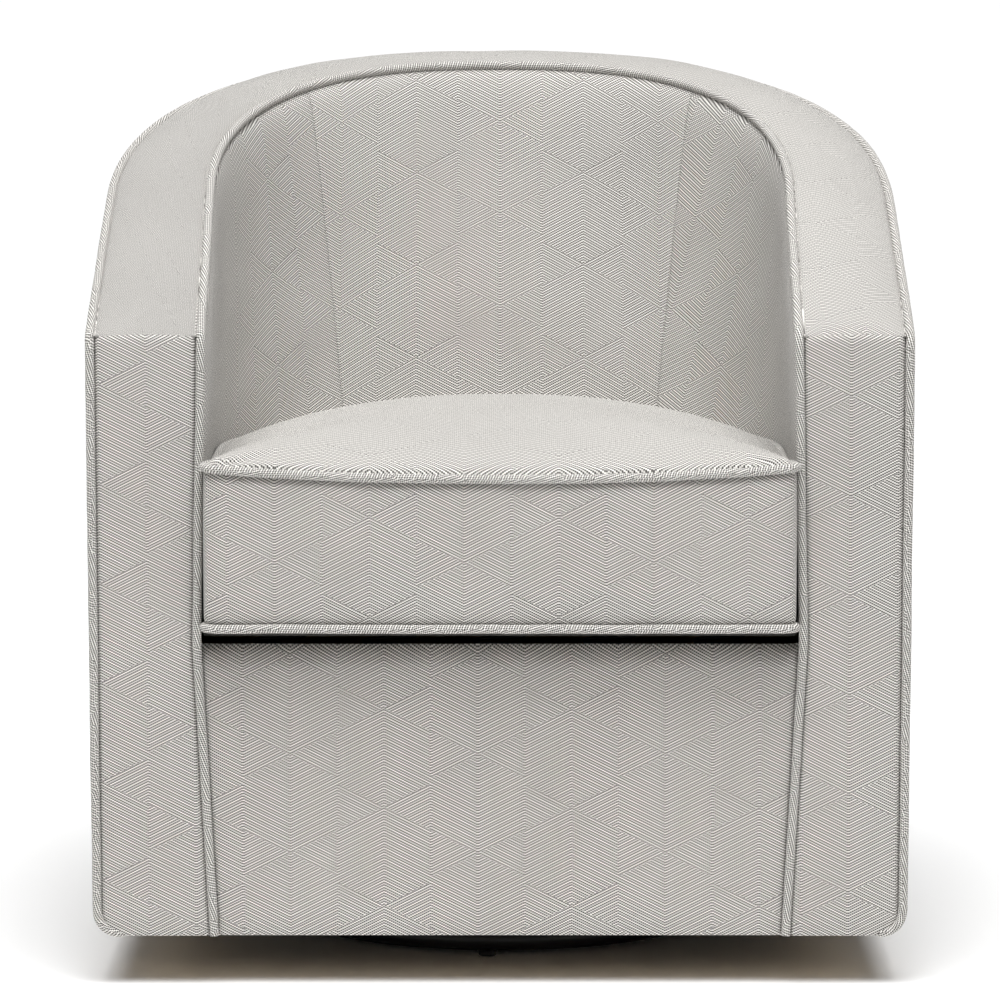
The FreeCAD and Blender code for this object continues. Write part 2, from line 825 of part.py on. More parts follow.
def base_bars():
    """Two flat bars across the ring, their ends shaped to its tube."""
    centre_line = Part.makeCylinder(ring_radius - ring_tube / 2, 2 * ring_tube)
    ring = base_ring()
    bars = []
    for end in (-1, 1):
        corner = V(-ring_radius, end * bar_spacing / 2 - bar_width / 2, bar_top - bar_thickness)
        bar = Part.makeBox(2 * ring_radius, bar_width, bar_thickness, corner)
        bar = bar.common(centre_line).cut(ring)
        for x, y in bolt_places():
            bar = bar.cut(bolt_hole(x, y, bar_top - 2 * bar_thickness, 3 * bar_thickness))
        bars.append(bar)
    return Part.makeCompound(bars)


def plate(bottom, hub_hole):
    corner = V(-plate_length / 2, -plate_width / 2, bottom)
    body = Part.makeBox(plate_length, plate_width, plate_thickness, corner)
    upright = [e for e in body.Edges if abs(e.BoundBox.ZLength - plate_thickness) < 0.01]
    body = body.makeFillet(plate_corner, upright)
    body = body.cut(Part.makeCylinder(hub_hole, through, V(0, 0, bottom - through / 2)))
    for x, y in bolt_places():
        body = body.cut(bolt_hole(x, y, bottom - through / 2, through))
    return body


def race(bottom):
    outer = Part.makeCylinder(race_radius + race_width / 2, race_height, V(0, 0, bottom))
    inner = Part.makeCylinder(race_radius - race_width / 2, race_height, V(0, 0, bottom))
    groove = Part.makeTorus(race_radius, ball_diameter / 2 + ball_clearance, V(0, 0, ball_height))
    return outer.cut(inner).cut(groove)


def lower_bearing_plate():
    base = plate(bar_top, hub_diameter / 2 + hub_clearance)
    return base.fuse(race(lower_plate_top))


def upper_bearing_plate():
    top = plate(upper_plate_bottom, hub_diameter / 2 + 0.02)
    return top.fuse(race(upper_plate_bottom - race_height))


def ball_places():
    for i in range(ball_count):
        angle = 2 * math.pi * i / ball_count
        yield V(race_radius * math.cos(angle), race_radius * math.sin(angle), ball_height)


def bearing_balls():
    return Part.makeCompound([Part.makeSphere(ball_diameter / 2, p) for p in ball_places()])


def ball_cage():
    low = ball_height - cage_height / 2
    outer = Part.makeCylinder(race_radius + cage_rim, cage_height, V(0, 0, low))
    ring = outer.cut(Part.makeCylinder(race_radius - cage_rim, cage_height, V(0, 0, low)))
    for p in ball_places():
        ring = ring.cut(Part.makeCylinder(ball_diameter / 2 + drill_gap, through, V(p.x, p.y, low - through / 2)))
    return ring


def centre_hub():
    """Rivet that holds the two bearing plates together and turns with the upper one."""
    low, high = bar_top - 0.4, stage_floor
    shank = Part.makeCylinder(hub_diameter / 2, high - low + 6, V(0, 0, low - 3))
    foot = Part.makeCylinder(hub_flange / 2, 3, V(0, 0, low - 3))
    head = Part.makeCylinder(hub_flange / 2, 3, V(0, 0, high))
    bore = Part.makeCylinder(hub_diameter / 2 - 4, through, V(0, 0, low - through / 2))
    return shank.fuse(foot).fuse(head).cut(bore)


def hex_prism(across, height, x, y, z):
    points = [V(x + across / math.sqrt(3) * math.cos(math.radians(60 * i)),
                y + across / math.sqrt(3) * math.sin(math.radians(60 * i)), z) for i in range(7)]
    return Part.Face(Part.makePolygon(points)).extrude(V(0, 0, height))


def bolt(x, y, seat, grip, up=True):
    """Hex bolt with its nut: seat is the face under the head, and grip what it clamps."""
    head_z = seat - bolt_head_height if up else seat
    nut_z = seat + grip if up else seat - grip - bolt_head_height
    shank_z = seat if up else seat - grip - bolt_head_height
    head = hex_prism(bolt_head, bolt_head_height, x, y, head_z)
    nut = hex_prism(bolt_head, bolt_head_height, x, y, nut_z)
    shank = Part.makeCylinder(bolt_diameter / 2, grip + bolt_head_height, V(x, y, shank_z))
    return head.fuse(shank).fuse(nut)


def base_bolts():
    grip = bar_thickness + plate_thickness
    bolts = [bolt(x, y, bar_top - bar_thickness, grip) for x, y in bolt_places()]
    return Part.makeCompound(bolts)


# ---- glide linkage -------------------------------------------------------------------------

def channel(sign):
    """Steel channel across the turning stage, open upwards, ending at the uprights."""
    y = sign * bar_spacing / 2
    half = upright_inner_x
    low = stage_floor
    outer = Part.makeBox(2 * half, bar_width, channel_height, V(-half, y - bar_width / 2, low))
    wall = channel_wall
    corner = V(-half - channel_margin, y - bar_width / 2 + wall, low + wall)
    bore = Part.makeBox(2 * (half + channel_margin), bar_width - 2 * wall, channel_height, corner)
    body = outer.cut(bore)
    for bx, by in bolt_places():
        body = body.cut(bolt_hole(bx, by, low - 1, channel_wall + 2))
    return body


def stage_bolts():
    grip = plate_thickness + channel_wall
    return Part.makeCompound([bolt(x, y, upper_plate_bottom, grip) for x, y in bolt_places()])


def rounded_strip(x, thickness, y, z0, z1, width):
    """Upright flat strip with round ends about two heights; it runs from x towards +X."""
    strip = Part.makeBox(thickness, width, z1 - z0, V(x, y - width / 2, z0))
    for z in (z0, z1):
        strip = strip.fuse(Part.makeCylinder(width / 2, thickness, V(x, y, z), V(1, 0, 0)))
    return strip.removeSplitter()


def hole_x(radius, y, z):
    return Part.makeCylinder(radius, 1000, V(-500, y, z), V(1, 0, 0))


def stage_upright():
    """Left side plate of the stage: a foot on the channels and two ears that carry the links."""
    x, thick = upright_inner_x, steel_thickness
    half = pivot_spacing / 2
    low, top = stage_floor, stage_floor + web_height
    web = Part.makeBox(thick, pivot_spacing + 2 * web_margin, top - low, V(x, -half - web_margin, low))
    body = web
    for y in (-half, half):
        body = body.fuse(rounded_strip(x, thick, y, top - ear_overlap, upper_pivot_height, link_width))
    body = body.removeSplitter()
    for y in (-half, half):
        body = body.cut(hole_x(pin_diameter / 2 + fit_gap, y, upper_pivot_height))
    return body


def swing_link(sign):
    """Left-hand link that hangs from an ear of the stage and carries the seat's glide rail."""
    y = sign * pivot_spacing / 2
    x = upright_inner_x + steel_thickness + bush_flange_gap + (bush_length - steel_thickness) / 2
    link = rounded_strip(x, steel_thickness, y, lower_pivot_height, upper_pivot_height, link_width)
    for z in (lower_pivot_height, upper_pivot_height):
        link = link.cut(hole_x(bush_diameter / 2, y, z))
    return link


def link_bushes(sign):
    y = sign * pivot_spacing / 2
    start = upright_inner_x + steel_thickness + bush_flange_gap
    web = start + (bush_length - steel_thickness) / 2
    bushes = []
    for z in (lower_pivot_height, upper_pivot_height):
        core = Part.makeCylinder(bush_diameter / 2, bush_length, V(start, y, z), V(1, 0, 0))
        near = Part.makeCylinder(bush_flange / 2, web - start, V(start, y, z), V(1, 0, 0))
        far = Part.makeCylinder(bush_flange / 2, web - start, V(web + steel_thickness, y, z), V(1, 0, 0))
        body = core.fuse(near).fuse(far)
        bushes.append(body.cut(hole_x(pin_diameter / 2 + pin_clearance, y, z)))
    return Part.makeCompound(bushes)


def pivot_pin(y, z, head_x, tip_x):
    """Headed pin along X, with its head at head_x and its end at tip_x."""
    direction = 1 if tip_x > head_x else -1
    shank = Part.makeCylinder(pin_diameter / 2, abs(tip_x - head_x), V(head_x, y, z), V(direction, 0, 0))
    head = Part.makeCylinder(pin_head / 2, pin_head_height, V(head_x, y, z), V(-direction, 0, 0))
    return shank.fuse(head)


def both_sides(shape):
    return [shape, mirror(shape)]


def upper_pins():
    tip = upright_inner_x + steel_thickness + bush_flange_gap + bush_length
    pins = []
    for s in (-1, 1):
        y = s * pivot_spacing / 2
        pins += both_sides(pivot_pin(y, upper_pivot_height, upright_inner_x, tip))
    return Part.makeCompound(pins)


def rail_plane():
    return upright_inner_x + steel_thickness + 2 * bush_flange_gap + bush_length


def lower_pins():
    tip = upright_inner_x + steel_thickness + bush_flange_gap
    pins = []
    for s in (-1, 1):
        y = s * pivot_spacing / 2
        pins += both_sides(pivot_pin(y, lower_pivot_height, rail_plane() + steel_thickness, tip))
    return Part.makeCompound(pins)


def rail_bolt_places():
    """Bolts of the left glide rail."""
    for end in (-1, 1):
        for shift in (-board_bolt_shift, board_bolt_shift):
            yield rail_plane() + flange_width / 2, end * board_centre() + shift


def rail_bolt_holes():
    """Cutters for the bolts of both glide rails."""
    holes = []
    for x, y in rail_bolt_places():
        holes += both_sides(bolt_hole(x, y, flange_top - 20, 80))
    return Part.makeCompound(holes)


def glide_rail():
    """Left steel angle of the seat: bolted under the boards, with two ears for the lower pivots."""
    x, thick = rail_plane(), steel_thickness
    half = glide_rail_length / 2
    web_low = flange_top - web_height
    web = Part.makeBox(thick, glide_rail_length, flange_top - web_low, V(x, -half, web_low))
    flange = Part.makeBox(flange_width, glide_rail_length, thick, V(x, -half, flange_top - thick))
    body = web.fuse(flange)
    for s in (-1, 1):
        y = s * pivot_spacing / 2
        ear_top = web_low + ear_overlap
        body = body.fuse(rounded_strip(x, thick, y, lower_pivot_height, ear_top, link_width))
    body = body.removeSplitter()
    for s in (-1, 1):
        body = body.cut(hole_x(pin_diameter / 2 + fit_gap, s * pivot_spacing / 2, lower_pivot_height))
    return body.cut(rail_bolt_holes())


def rail_bolts():
    grip = steel_thickness + cover_thickness + board_thickness
    seat = flange_top - steel_thickness
    bolts = []
    for bx, by in rail_bolt_places():
        bolts += both_sides(bolt(bx, by, seat, grip))
    return Part.makeCompound(bolts)


# ---- everything ----------------------------------------------------------------------------

def build():
    parts = {}
    parts["base_ring"] = base_ring()
    parts["base_feet"] = base_feet()
    parts["base_bars"] = base_bars()
    parts["lower_bearing_plate"] = lower_bearing_plate()
    parts["bearing_balls"] = bearing_balls()
    parts["ball_cage"] = ball_cage()
    parts["base_bolts"] = base_bolts()

    parts["upper_bearing_plate"] = upper_bearing_plate()
    parts["centre_hub"] = centre_hub()
    parts["stage_channel_front"] = channel(-1)
    parts["stage_channel_rear"] = channel(1)
    parts["stage_upright_left"] = stage_upright()
    parts["stage_upright_right"] = mirror(stage_upright())
    parts["upper_pivot_pins"] = upper_pins()
    parts["stage_bolts"] = stage_bolts()

    for end, sign in (("front", -1), ("rear", 1)):
        parts[f"swing_link_{end}_left"] = swing_link(sign)
        parts[f"swing_link_{end}_right"] = mirror(swing_link(sign))
        parts[f"link_bushes_{end}_left"] = link_bushes(sign)
        parts[f"link_bushes_{end}_right"] = mirror(link_bushes(sign))

    parts["glide_rail_left"] = glide_rail()
    parts["glide_rail_right"] = mirror(glide_rail())
    parts["lower_pivot_pins"] = lower_pins()
    parts["rail_bolts"] = rail_bolts()
    parts["mounting_boards"] = mounting_boards()
    parts["dust_cover"] = dust_cover()

    parts.update(seat_rails())
    parts["corner_blocks"] = corner_blocks()
    parts["front_posts"] = front_posts()
    parts["back_posts"] = back_posts()
    parts["bottom_frame"] = wall_piece(bottom_frame_section)
    parts["bottom_rail_front"] = bottom_rail_front()
    top_rail = wall_piece(top_rail_section)
    left, back, right = split_wall(top_rail, outside_seam_x - top_rail_width)
    parts["arm_top_rail_left"], parts["back_top_rail"], parts["arm_top_rail_right"] = left, back, right
    parts["seat_springs"] = Part.makeCompound([spring(x) for x in spring_positions()])
    parts["spring_clips"] = spring_clips()
    parts["deck_pad"] = deck_pad()

    outside = wall_piece(outside_section)
    left, back, right = split_wall(outside, outside_seam_x)
    parts["outside_arm_left"], parts["outside_back"], parts["outside_arm_right"] = left, back, right
    inside = wall_piece(inside_section)
    left, back, right = split_wall(inside, inside_seam_x)
    parts["inside_arm_left"], parts["inside_back"], parts["inside_arm_right"] = left, back, right
    parts["top_band"] = wall_piece(band_section)
    parts["arm_front_left"] = arm_front_pad()
    parts["arm_front_right"] = mirror(arm_front_pad())
    parts["front_apron"] = apron()
    parts["outer_welt"] = outer_welt()
    parts["inner_welt"] = inner_welt()

    parts["cushion_cover"] = cushion_cover()
    parts["cushion_core"] = cushion_form(cover_wall + core_gap)
    parts["cushion_welts"] = cushion_welts()
    parts["cushion_zipper"] = cushion_zipper()
    return parts


os.makedirs("parts", exist_ok=True)
built = build()
for name, shape in built.items():
    bad = [s for s in shape.Solids if not s.isValid() or s.Volume <= 0]
    if bad or not shape.Solids:
        print("BAD", name, len(shape.Solids), [round(s.Volume) for s in shape.Solids])
    shape.exportStep(f"parts/{name}.step")
whole = Part.makeCompound(list(built.values())).BoundBox
print(len(built), "nodes", [round(v, 2) for v in (
    whole.XMin, whole.XMax, whole.YMin, whole.YMax, whole.ZMin, whole.ZMax)])
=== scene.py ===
import json
import math

import bpy
import numpy as np
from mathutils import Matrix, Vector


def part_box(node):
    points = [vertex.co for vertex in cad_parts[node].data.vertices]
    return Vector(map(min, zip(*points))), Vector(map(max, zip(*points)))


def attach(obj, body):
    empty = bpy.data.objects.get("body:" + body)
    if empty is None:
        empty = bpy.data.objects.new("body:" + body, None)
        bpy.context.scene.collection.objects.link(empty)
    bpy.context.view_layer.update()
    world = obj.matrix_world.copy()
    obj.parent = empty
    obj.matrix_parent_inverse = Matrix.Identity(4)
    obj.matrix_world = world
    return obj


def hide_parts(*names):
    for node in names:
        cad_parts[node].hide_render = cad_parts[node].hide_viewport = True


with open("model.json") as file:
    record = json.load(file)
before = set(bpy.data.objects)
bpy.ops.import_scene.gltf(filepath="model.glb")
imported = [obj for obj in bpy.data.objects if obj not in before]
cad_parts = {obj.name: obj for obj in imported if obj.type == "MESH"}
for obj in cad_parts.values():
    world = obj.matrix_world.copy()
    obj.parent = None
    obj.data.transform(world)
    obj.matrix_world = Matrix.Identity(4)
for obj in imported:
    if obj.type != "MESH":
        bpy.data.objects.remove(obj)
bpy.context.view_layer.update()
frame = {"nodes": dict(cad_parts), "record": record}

bl_info = {
    "name": "Glider Nursery Chair",
    "version": (1, 0, 0),
    "blender": (4, 5, 0),
    "location": "3D View > Sidebar > Glider Chair",
    "description": "Upholstery, timber, steel and studio for a barrel-backed swivel glider",
    "category": "Object",
}

# Metres throughout: +Z up, -Y to the front of the chair, origin on the floor on the swivel axis.
# Depth is measured back from the arm fronts.

NODES = frame["nodes"]

# ---- sizes read from the frame -------------------------------------------------------------
BAND_LOW, BAND_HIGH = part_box("top_band")
FRONT_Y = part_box("arm_front_left")[0].y
SEAM_GAP = 0.001
SKIRT_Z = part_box("front_apron")[0].z
ARM_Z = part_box("arm_front_left")[1].z + SEAM_GAP
DECK_LOW, DECK_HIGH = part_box("deck_pad")
OUTER_HALF = BAND_HIGH.x
OUTER_REACH = BAND_HIGH.y - FRONT_Y
CUSHION_LOW, CUSHION_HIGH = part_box("cushion_cover")
APRON_FRONT_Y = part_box("front_apron")[0].y

# ---- sizes of the upholstered wall ---------------------------------------------------------
ARM_WIDTH = 0.111
OUTER_TAPER = 0.004          # the sides come in by this much from rim to skirt
OUTER_RAKE = 0.030           # the outside back leans back by this much
WALL_STRAIGHT = 0.300        # depth over which the rim runs straight back
INNER_HALF = OUTER_HALF - ARM_WIDTH
INNER_SPLAY = 0.009
INNER_WIDEN = 0.010          # each inside arm is this much further out at the deck
INNER_REACH = 0.600
DECK_REACH = 0.460
DECK_STRAIGHT = 0.180
INNER_TOP_Z = 0.835
OUTER_TOP_Z = 0.836
OUTER_POWER = 2.1            # roundness of the back in plan
INNER_POWER = 2.25
OUTER_SWEEP = 1.25           # bow of the rise from arm to crest
INNER_SWEEP = 1.15
SKIRT_ROUND = 0.021
ARM_SPREAD = 0.005           # the arm front's inner edge passes the rim by this at the skirt
INNER_SEAM_X = 0.162         # half the inside back at the cushion
INNER_SEAM_LEAN = 0.034      # and this much more at the crest
OUTER_SEAM_X = 0.262
CUSHION_BOTTOM = 0.333
CUSHION_THICK = 0.147
CUSHION_FRONT = -0.026       # depth of the boxing's front


def linear(code):
    """Linear colour of an sRGB hex code, by the standard curve."""
    values = [int(code[i:i + 2], 16) / 255 for i in (1, 3, 5)]
    return tuple(v / 12.92 if v <= 0.04045 else ((v + 0.055) / 1.055) ** 2.4 for v in values)


# ---- settings ------------------------------------------------------------------------------

class ChairFabricSettings(bpy.types.PropertyGroup):
    """Sizes and yarns of the woven cover."""
    column: bpy.props.FloatProperty(
        name="Column", description="Width of one column of the chevron", default=0.0435, unit="LENGTH")
    repeat: bpy.props.FloatProperty(
        name="Repeat", description="Height of one pattern repeat", default=0.0925, unit="LENGTH")
    ribs: bpy.props.IntProperty(
        name="Ribs", description="Raised lines in one repeat", default=36)
    thread: bpy.props.FloatProperty(
        name="Thread", description="Spacing of the warp threads", default=0.0018, unit="LENGTH")
    light_yarn: bpy.props.FloatVectorProperty(
        name="Light yarn", description="Off-white raised yarn", subtype="COLOR", size=3,
        default=linear("#FFFCF7"))
    dark_yarn: bpy.props.FloatVectorProperty(
        name="Dark yarn", description="Taupe ground yarn", subtype="COLOR", size=3,
        default=linear("#2D2823"))


class ChairShapeSettings(bpy.types.PropertyGroup):
    """Padding of the upholstery."""
    welt_radius: bpy.props.FloatProperty(
        name="Welt radius", description="Half the width of a covered cord", default=0.00425,
        unit="LENGTH")
    cushion_welt_radius: bpy.props.FloatProperty(
        name="Cushion welt radius", description="Half the width of a cushion's covered cord",
        default=0.0042, unit="LENGTH")
    arm_pillow: bpy.props.FloatProperty(
        name="Arm pillow", description="Swell of the arm fronts", default=0.0035, unit="LENGTH")
    back_pillow: bpy.props.FloatProperty(
        name="Back pillow", description="Swell of the inside panels", default=0.006, unit="LENGTH")
    cushion_peak: bpy.props.FloatProperty(
        name="Cushion peak", description="Height of the cushion's crown", default=0.526,
        unit="LENGTH")


class ChairStageSettings(bpy.types.PropertyGroup):
    """Camera and light."""
    distance: bpy.props.FloatProperty(
        name="Distance", description="Camera to arm fronts", default=4.9, unit="LENGTH")
    eye_height: bpy.props.FloatProperty(
        name="Eye height", description="Camera above the floor", default=1.00134, unit="LENGTH")
    pitch: bpy.props.FloatProperty(
        name="Pitch", description="Camera's angle below level", default=math.radians(6.376),
        subtype="ANGLE")
    lens: bpy.props.FloatProperty(
        name="Lens", description="Focal length in mm on a 36 mm sensor", default=192.64)
    ceiling: bpy.props.FloatProperty(
        name="Ceiling", description="Strength of the light from above", default=3.2)
    ceiling_tilt: bpy.props.FloatProperty(
        name="Ceiling tilt", description="How far that light leans to the front",
        default=math.radians(15), subtype="ANGLE")
    softbox: bpy.props.FloatProperty(
        name="Softbox", description="Power of the light above the seat, in watts", default=22.0)
    surroundings: bpy.props.FloatProperty(
        name="Surroundings", description="Strength of the white all round", default=0.12)


def shape():
    """The padding's settings."""
    return bpy.context.scene.chair_shape


# ---- meshes from arrays --------------------------------------------------------------------

def grid_faces(rows, columns, first=0, wrap=False):
    """Quads of a grid of points numbered row by row; wrap closes each row on itself."""
    spans = columns if wrap else columns - 1
    r, c = np.meshgrid(np.arange(rows - 1), np.arange(spans), indexing="ij")
    nxt = (c + 1) % columns
    quads = np.stack([r * columns + c, r * columns + nxt, (r + 1) * columns + nxt,
                      (r + 1) * columns + c], -1)
    return quads.reshape(-1, 4) + first


def signed_volume(points, quads):
    """Six times the volume inside a closed set of quads, by triple products."""
    a, b, c, d = (points[quads[:, k]] for k in range(4))
    return (np.einsum("ij,ij->i", a, np.cross(b, c)).sum()
            + np.einsum("ij,ij->i", a, np.cross(c, d)).sum())


def make_piece(name, points, quads, uv=None, material=None):
    """Object of quads; uv holds a point of cloth in metres for each corner of each quad."""
    points = np.asarray(points, float).reshape(-1, 3)
    quads = np.asarray(quads)
    if signed_volume(points, quads) < 0:
        quads = quads[:, ::-1]
        uv = None if uv is None else uv[:, ::-1]
    mesh = bpy.data.meshes.new(name)
    mesh.from_pydata(points.tolist(), [], quads.tolist())
    if uv is not None:
        layer = mesh.uv_layers.new(name="weave")
        layer.data.foreach_set("uv", np.asarray(uv, float).reshape(-1))
    mesh.shade_smooth()
    piece = bpy.data.objects.new(name, mesh)
    bpy.context.scene.collection.objects.link(piece)
    if material is not None:
        mesh.materials.append(material)
    return piece


def make_pad(name, front, back, cloth, material):
    """Closed pad of two like grids, a face and a back, joined all round their borders."""
    rows, columns = front.shape[:2]
    count = rows * columns
    face = grid_faces(rows, columns)
    rear = grid_faces(rows, columns)[:, ::-1] + count
    index = np.arange(count).reshape(rows, columns)
    ring = np.concatenate([index[0, :-1], index[:-1, -1], index[-1, :0:-1], index[:0:-1, 0]])
    after = np.roll(ring, -1)
    sides = np.stack([after, ring, ring + count, after + count], -1)
    points = np.concatenate([front.reshape(-1, 3), back.reshape(-1, 3)])
    quads = np.concatenate([face, rear, sides])
    cloth = np.concatenate([cloth.reshape(-1, 2), cloth.reshape(-1, 2)])
    return make_piece(name, points, quads, cloth[quads], material)


def make_tube(name, path, radius, sides, material, bias=0.0, closed=False):
    """Round section carried along a path by turning its frame as little as possible.

    The cloth's u runs along the tube and v round it, and bias turns them, as on a cut welt.
    """
    path = np.asarray(path, float)
    ahead = np.roll(path, -1, 0) - np.roll(path, 1, 0)
    if not closed:
        ahead[0], ahead[-1] = path[1] - path[0], path[-1] - path[-2]
    ahead /= np.linalg.norm(ahead, axis=1)[:, None]
    side = np.cross(ahead[0], (0.0, 0.0, 1.0))
    if np.linalg.norm(side) < 0.1:
        side = np.cross(ahead[0], (1.0, 0.0, 0.0))
    frames = []
    for direction in ahead:
        side = side - direction * side.dot(direction)
        side = side / np.linalg.norm(side)
        frames.append(side)
    u = np.array(frames)
    w = np.cross(ahead, u)
    turn = np.linspace(0, 2 * np.pi, sides, endpoint=False)
    radius = np.broadcast_to(np.asarray(radius, float), (len(path),))
    ring = (u[:, None] * np.cos(turn)[None, :, None] + w[:, None] * np.sin(turn)[None, :, None])
    points = path[:, None] + ring * radius[:, None, None]
    steps = np.linalg.norm(np.diff(path, axis=0), axis=1)
    along = np.concatenate([[0], np.cumsum(steps)])
    if closed:
        points = np.concatenate([points, points[:1]])
        along = np.append(along, along[-1] + np.linalg.norm(path[0] - path[-1]))
    rows = len(points)
    quads = grid_faces(rows, sides, wrap=True)
    r, c = np.meshgrid(np.arange(rows - 1), np.arange(sides), indexing="ij")
    corner_r = np.stack([r, r, r + 1, r + 1], -1).reshape(-1, 4)
    corner_c = np.stack([c, c + 1, c + 1, c], -1).reshape(-1, 4)
    girth = 2 * np.pi * float(radius.mean())
    lengthways, around = along[corner_r], corner_c * girth / sides
    cloth = np.stack([lengthways * math.cos(bias) - around * math.sin(bias),
                      lengthways * math.sin(bias) + around * math.cos(bias)], -1)
    points = points.reshape(-1, 3)
    if closed:
        last = (rows - 1) * sides
        quads = np.where(quads >= last, quads - last, quads)
        points = points[:last]
    else:
        count = len(points)
        points = np.concatenate([points, path[:1], path[-1:]])
        ring0 = np.arange(sides)
        nxt = np.roll(ring0, -1)
        last = (rows - 1) * sides
        start = np.stack([nxt, ring0, np.full(sides, count), np.full(sides, count)], -1)
        end = np.stack([ring0 + last, nxt + last, np.full(sides, count + 1),
                        np.full(sides, count + 1)], -1)
        return make_capped(name, points, quads, (start, end), cloth, material)
    return make_piece(name, points, quads, cloth, material)


def make_capped(name, points, quads, caps, cloth, material):
    """Tube with a fan of triangles at each end."""
    flip = signed_volume(points, np.concatenate([quads, *caps])) < 0
    fans = np.concatenate(caps)[:, :3]
    if flip:
        quads, fans, cloth = quads[:, ::-1], fans[:, ::-1], cloth[:, ::-1]
    mesh = bpy.data.meshes.new(name)
    mesh.from_pydata(points.tolist(), [], quads.tolist() + fans.tolist())
    uv = np.concatenate([cloth.reshape(-1, 2), np.zeros((fans.size, 2))])
    layer = mesh.uv_layers.new(name="weave")
    layer.data.foreach_set("uv", uv.reshape(-1))
    mesh.shade_smooth()
    mesh.materials.append(material)
    piece = bpy.data.objects.new(name, mesh)
    bpy.context.scene.collection.objects.link(piece)
    return piece


def resample(path, step):
    """Points of a polyline at even steps along it."""
    path = np.asarray(path, float)
    along = np.concatenate([[0], np.cumsum(np.linalg.norm(np.diff(path, axis=0), axis=1))])
    count = max(int(round(along[-1] / step)) + 1, 4)
    at = np.linspace(0, along[-1], count)
    return np.stack([np.interp(at, along, path[:, k]) for k in range(path.shape[1])], -1)


def softened(path, step, reach, closed=False):
    """Even points of a path with its corners rounded: each is the mean of those within reach."""
    path = resample(path, step)
    width = max(int(reach / step), 1)
    if closed:
        padded = np.concatenate([path[-width - 1:-1], path, path[1:width + 1]])
    else:
        padded = np.concatenate([2 * path[0] - path[width:0:-1], path,
                                 2 * path[-1] - path[-2:-width - 2:-1]])
    kernel = np.hanning(2 * width + 3)[1:-1]
    kernel /= kernel.sum()
    return np.stack([np.convolve(padded[:, k], kernel, mode="valid") for k in range(3)], -1)


def ease(value, low, high):
    """0 below low, 1 above high, and a smooth cubic between."""
    t = np.clip((value - low) / (high - low), 0, 1)
    return t * t * (3 - 2 * t)


def swell(distance, softness):
    """Rise of padding at a distance from a seam: steep at first, then level."""
    return 1 - np.exp(-np.maximum(distance, 0) / softness)


def groove(distance, depth=0.0045, width=0.0016):
    """Depth of the valley beside a welt, at a distance from the welt's middle."""
    return depth * np.exp(-np.maximum(distance - shape().welt_radius, 0) / width)


def puckers(u, v, size, seed):
    """Low uneven waves over a cloth point: a sum of six sines at odd angles and lengths."""
    rng = np.random.default_rng(seed)
    total = np.zeros(np.broadcast(u, v).shape)
    for k in range(6):
        angle, phase = rng.uniform(0, np.pi), rng.uniform(0, 2 * np.pi)
        wave = 2 * np.pi / (size * rng.uniform(0.6, 1.7))
        total = total + np.sin(wave * (u * math.cos(angle) + v * math.sin(angle)) + phase)
    return total / 6


# ---- the wall of the tub -------------------------------------------------------------------
# A station runs from 0 at the left arm front, through 1 at the centre back, to 2 at the right.

def plan(s, half, splay, straight, reach, power):
    """Plan of a U: a straight arm that opens by splay, then a superellipse round the back."""
    s = np.asarray(s, float)
    side = np.where(s <= 1, 1.0, -1.0)
    k = np.where(s <= 1, s, 2 - s)
    along = np.clip(k / 0.5, 0, 1)
    angle = np.clip(k - 0.5, 0, 0.5) * np.pi
    cosine = np.cos(angle).clip(0) ** (2 / power)
    sine = np.sin(angle).clip(0) ** (2 / power)
    x = np.where(k <= 0.5, half + splay * along, (half + splay) * cosine)
    depth = np.where(k <= 0.5, straight * along, straight + (reach - straight) * sine)
    return side * x, depth


def outer_plan(s, z):
    """Plan of the outside at a height: it narrows and rakes forward towards the skirt."""
    share = (z - SKIRT_Z) / (OUTER_TOP_Z - SKIRT_Z)
    half = OUTER_HALF - OUTER_TAPER * (1 - share)
    reach = OUTER_REACH - OUTER_RAKE * (1 - share)
    return plan(s, half, 0.0, WALL_STRAIGHT, reach, OUTER_POWER)


def inner_share(z):
    """0 at the deck, 1 at the inside rim of the crest."""
    return (z - DECK_LOW.z) / (INNER_TOP_Z - DECK_LOW.z)


def inner_plan(s, z):
    """Plan of the inside at a height: its back comes forward towards the deck."""
    share = inner_share(z)
    half = INNER_HALF + INNER_WIDEN * (1 - share)
    straight = DECK_STRAIGHT + (WALL_STRAIGHT - DECK_STRAIGHT) * share
    reach = DECK_REACH + (INNER_REACH - DECK_REACH) * share
    return plan(s, half, INNER_SPLAY * share, straight, reach, INNER_POWER)


def on_wall(curve, s, z, out=0.0):
    """Points at stations and heights on a wall, moved out along its level normal."""
    s, z, out = np.broadcast_arrays(np.asarray(s, float), z, out)
    x, depth = curve(s, z)
    step = 1e-4
    x0, d0 = curve(np.clip(s - step, 0, 2), z)
    x1, d1 = curve(np.clip(s + step, 0, 2), z)
    nx, nd = d1 - d0, -(x1 - x0)
    length = np.hypot(nx, nd)
    return np.stack([x + nx / length * out, depth + nd / length * out + FRONT_Y, z], -1)


def rise(depth, reach, top, sweep):
    """Height of a rim: from the arm seam to top in one bowed slope."""
    return ARM_Z + (top - ARM_Z) * (1 - np.clip(1 - depth / reach, 0, 1) ** sweep)


def outer_rim(s):
    """Height of the outside rim at a station."""
    return rise(outer_plan(s, OUTER_TOP_Z)[1], OUTER_REACH, OUTER_TOP_Z, OUTER_SWEEP)


def inner_rim(s):
    """Height of the inside rim at a station."""
    return rise(inner_plan(s, INNER_TOP_Z)[1], INNER_REACH, INNER_TOP_Z, INNER_SWEEP)


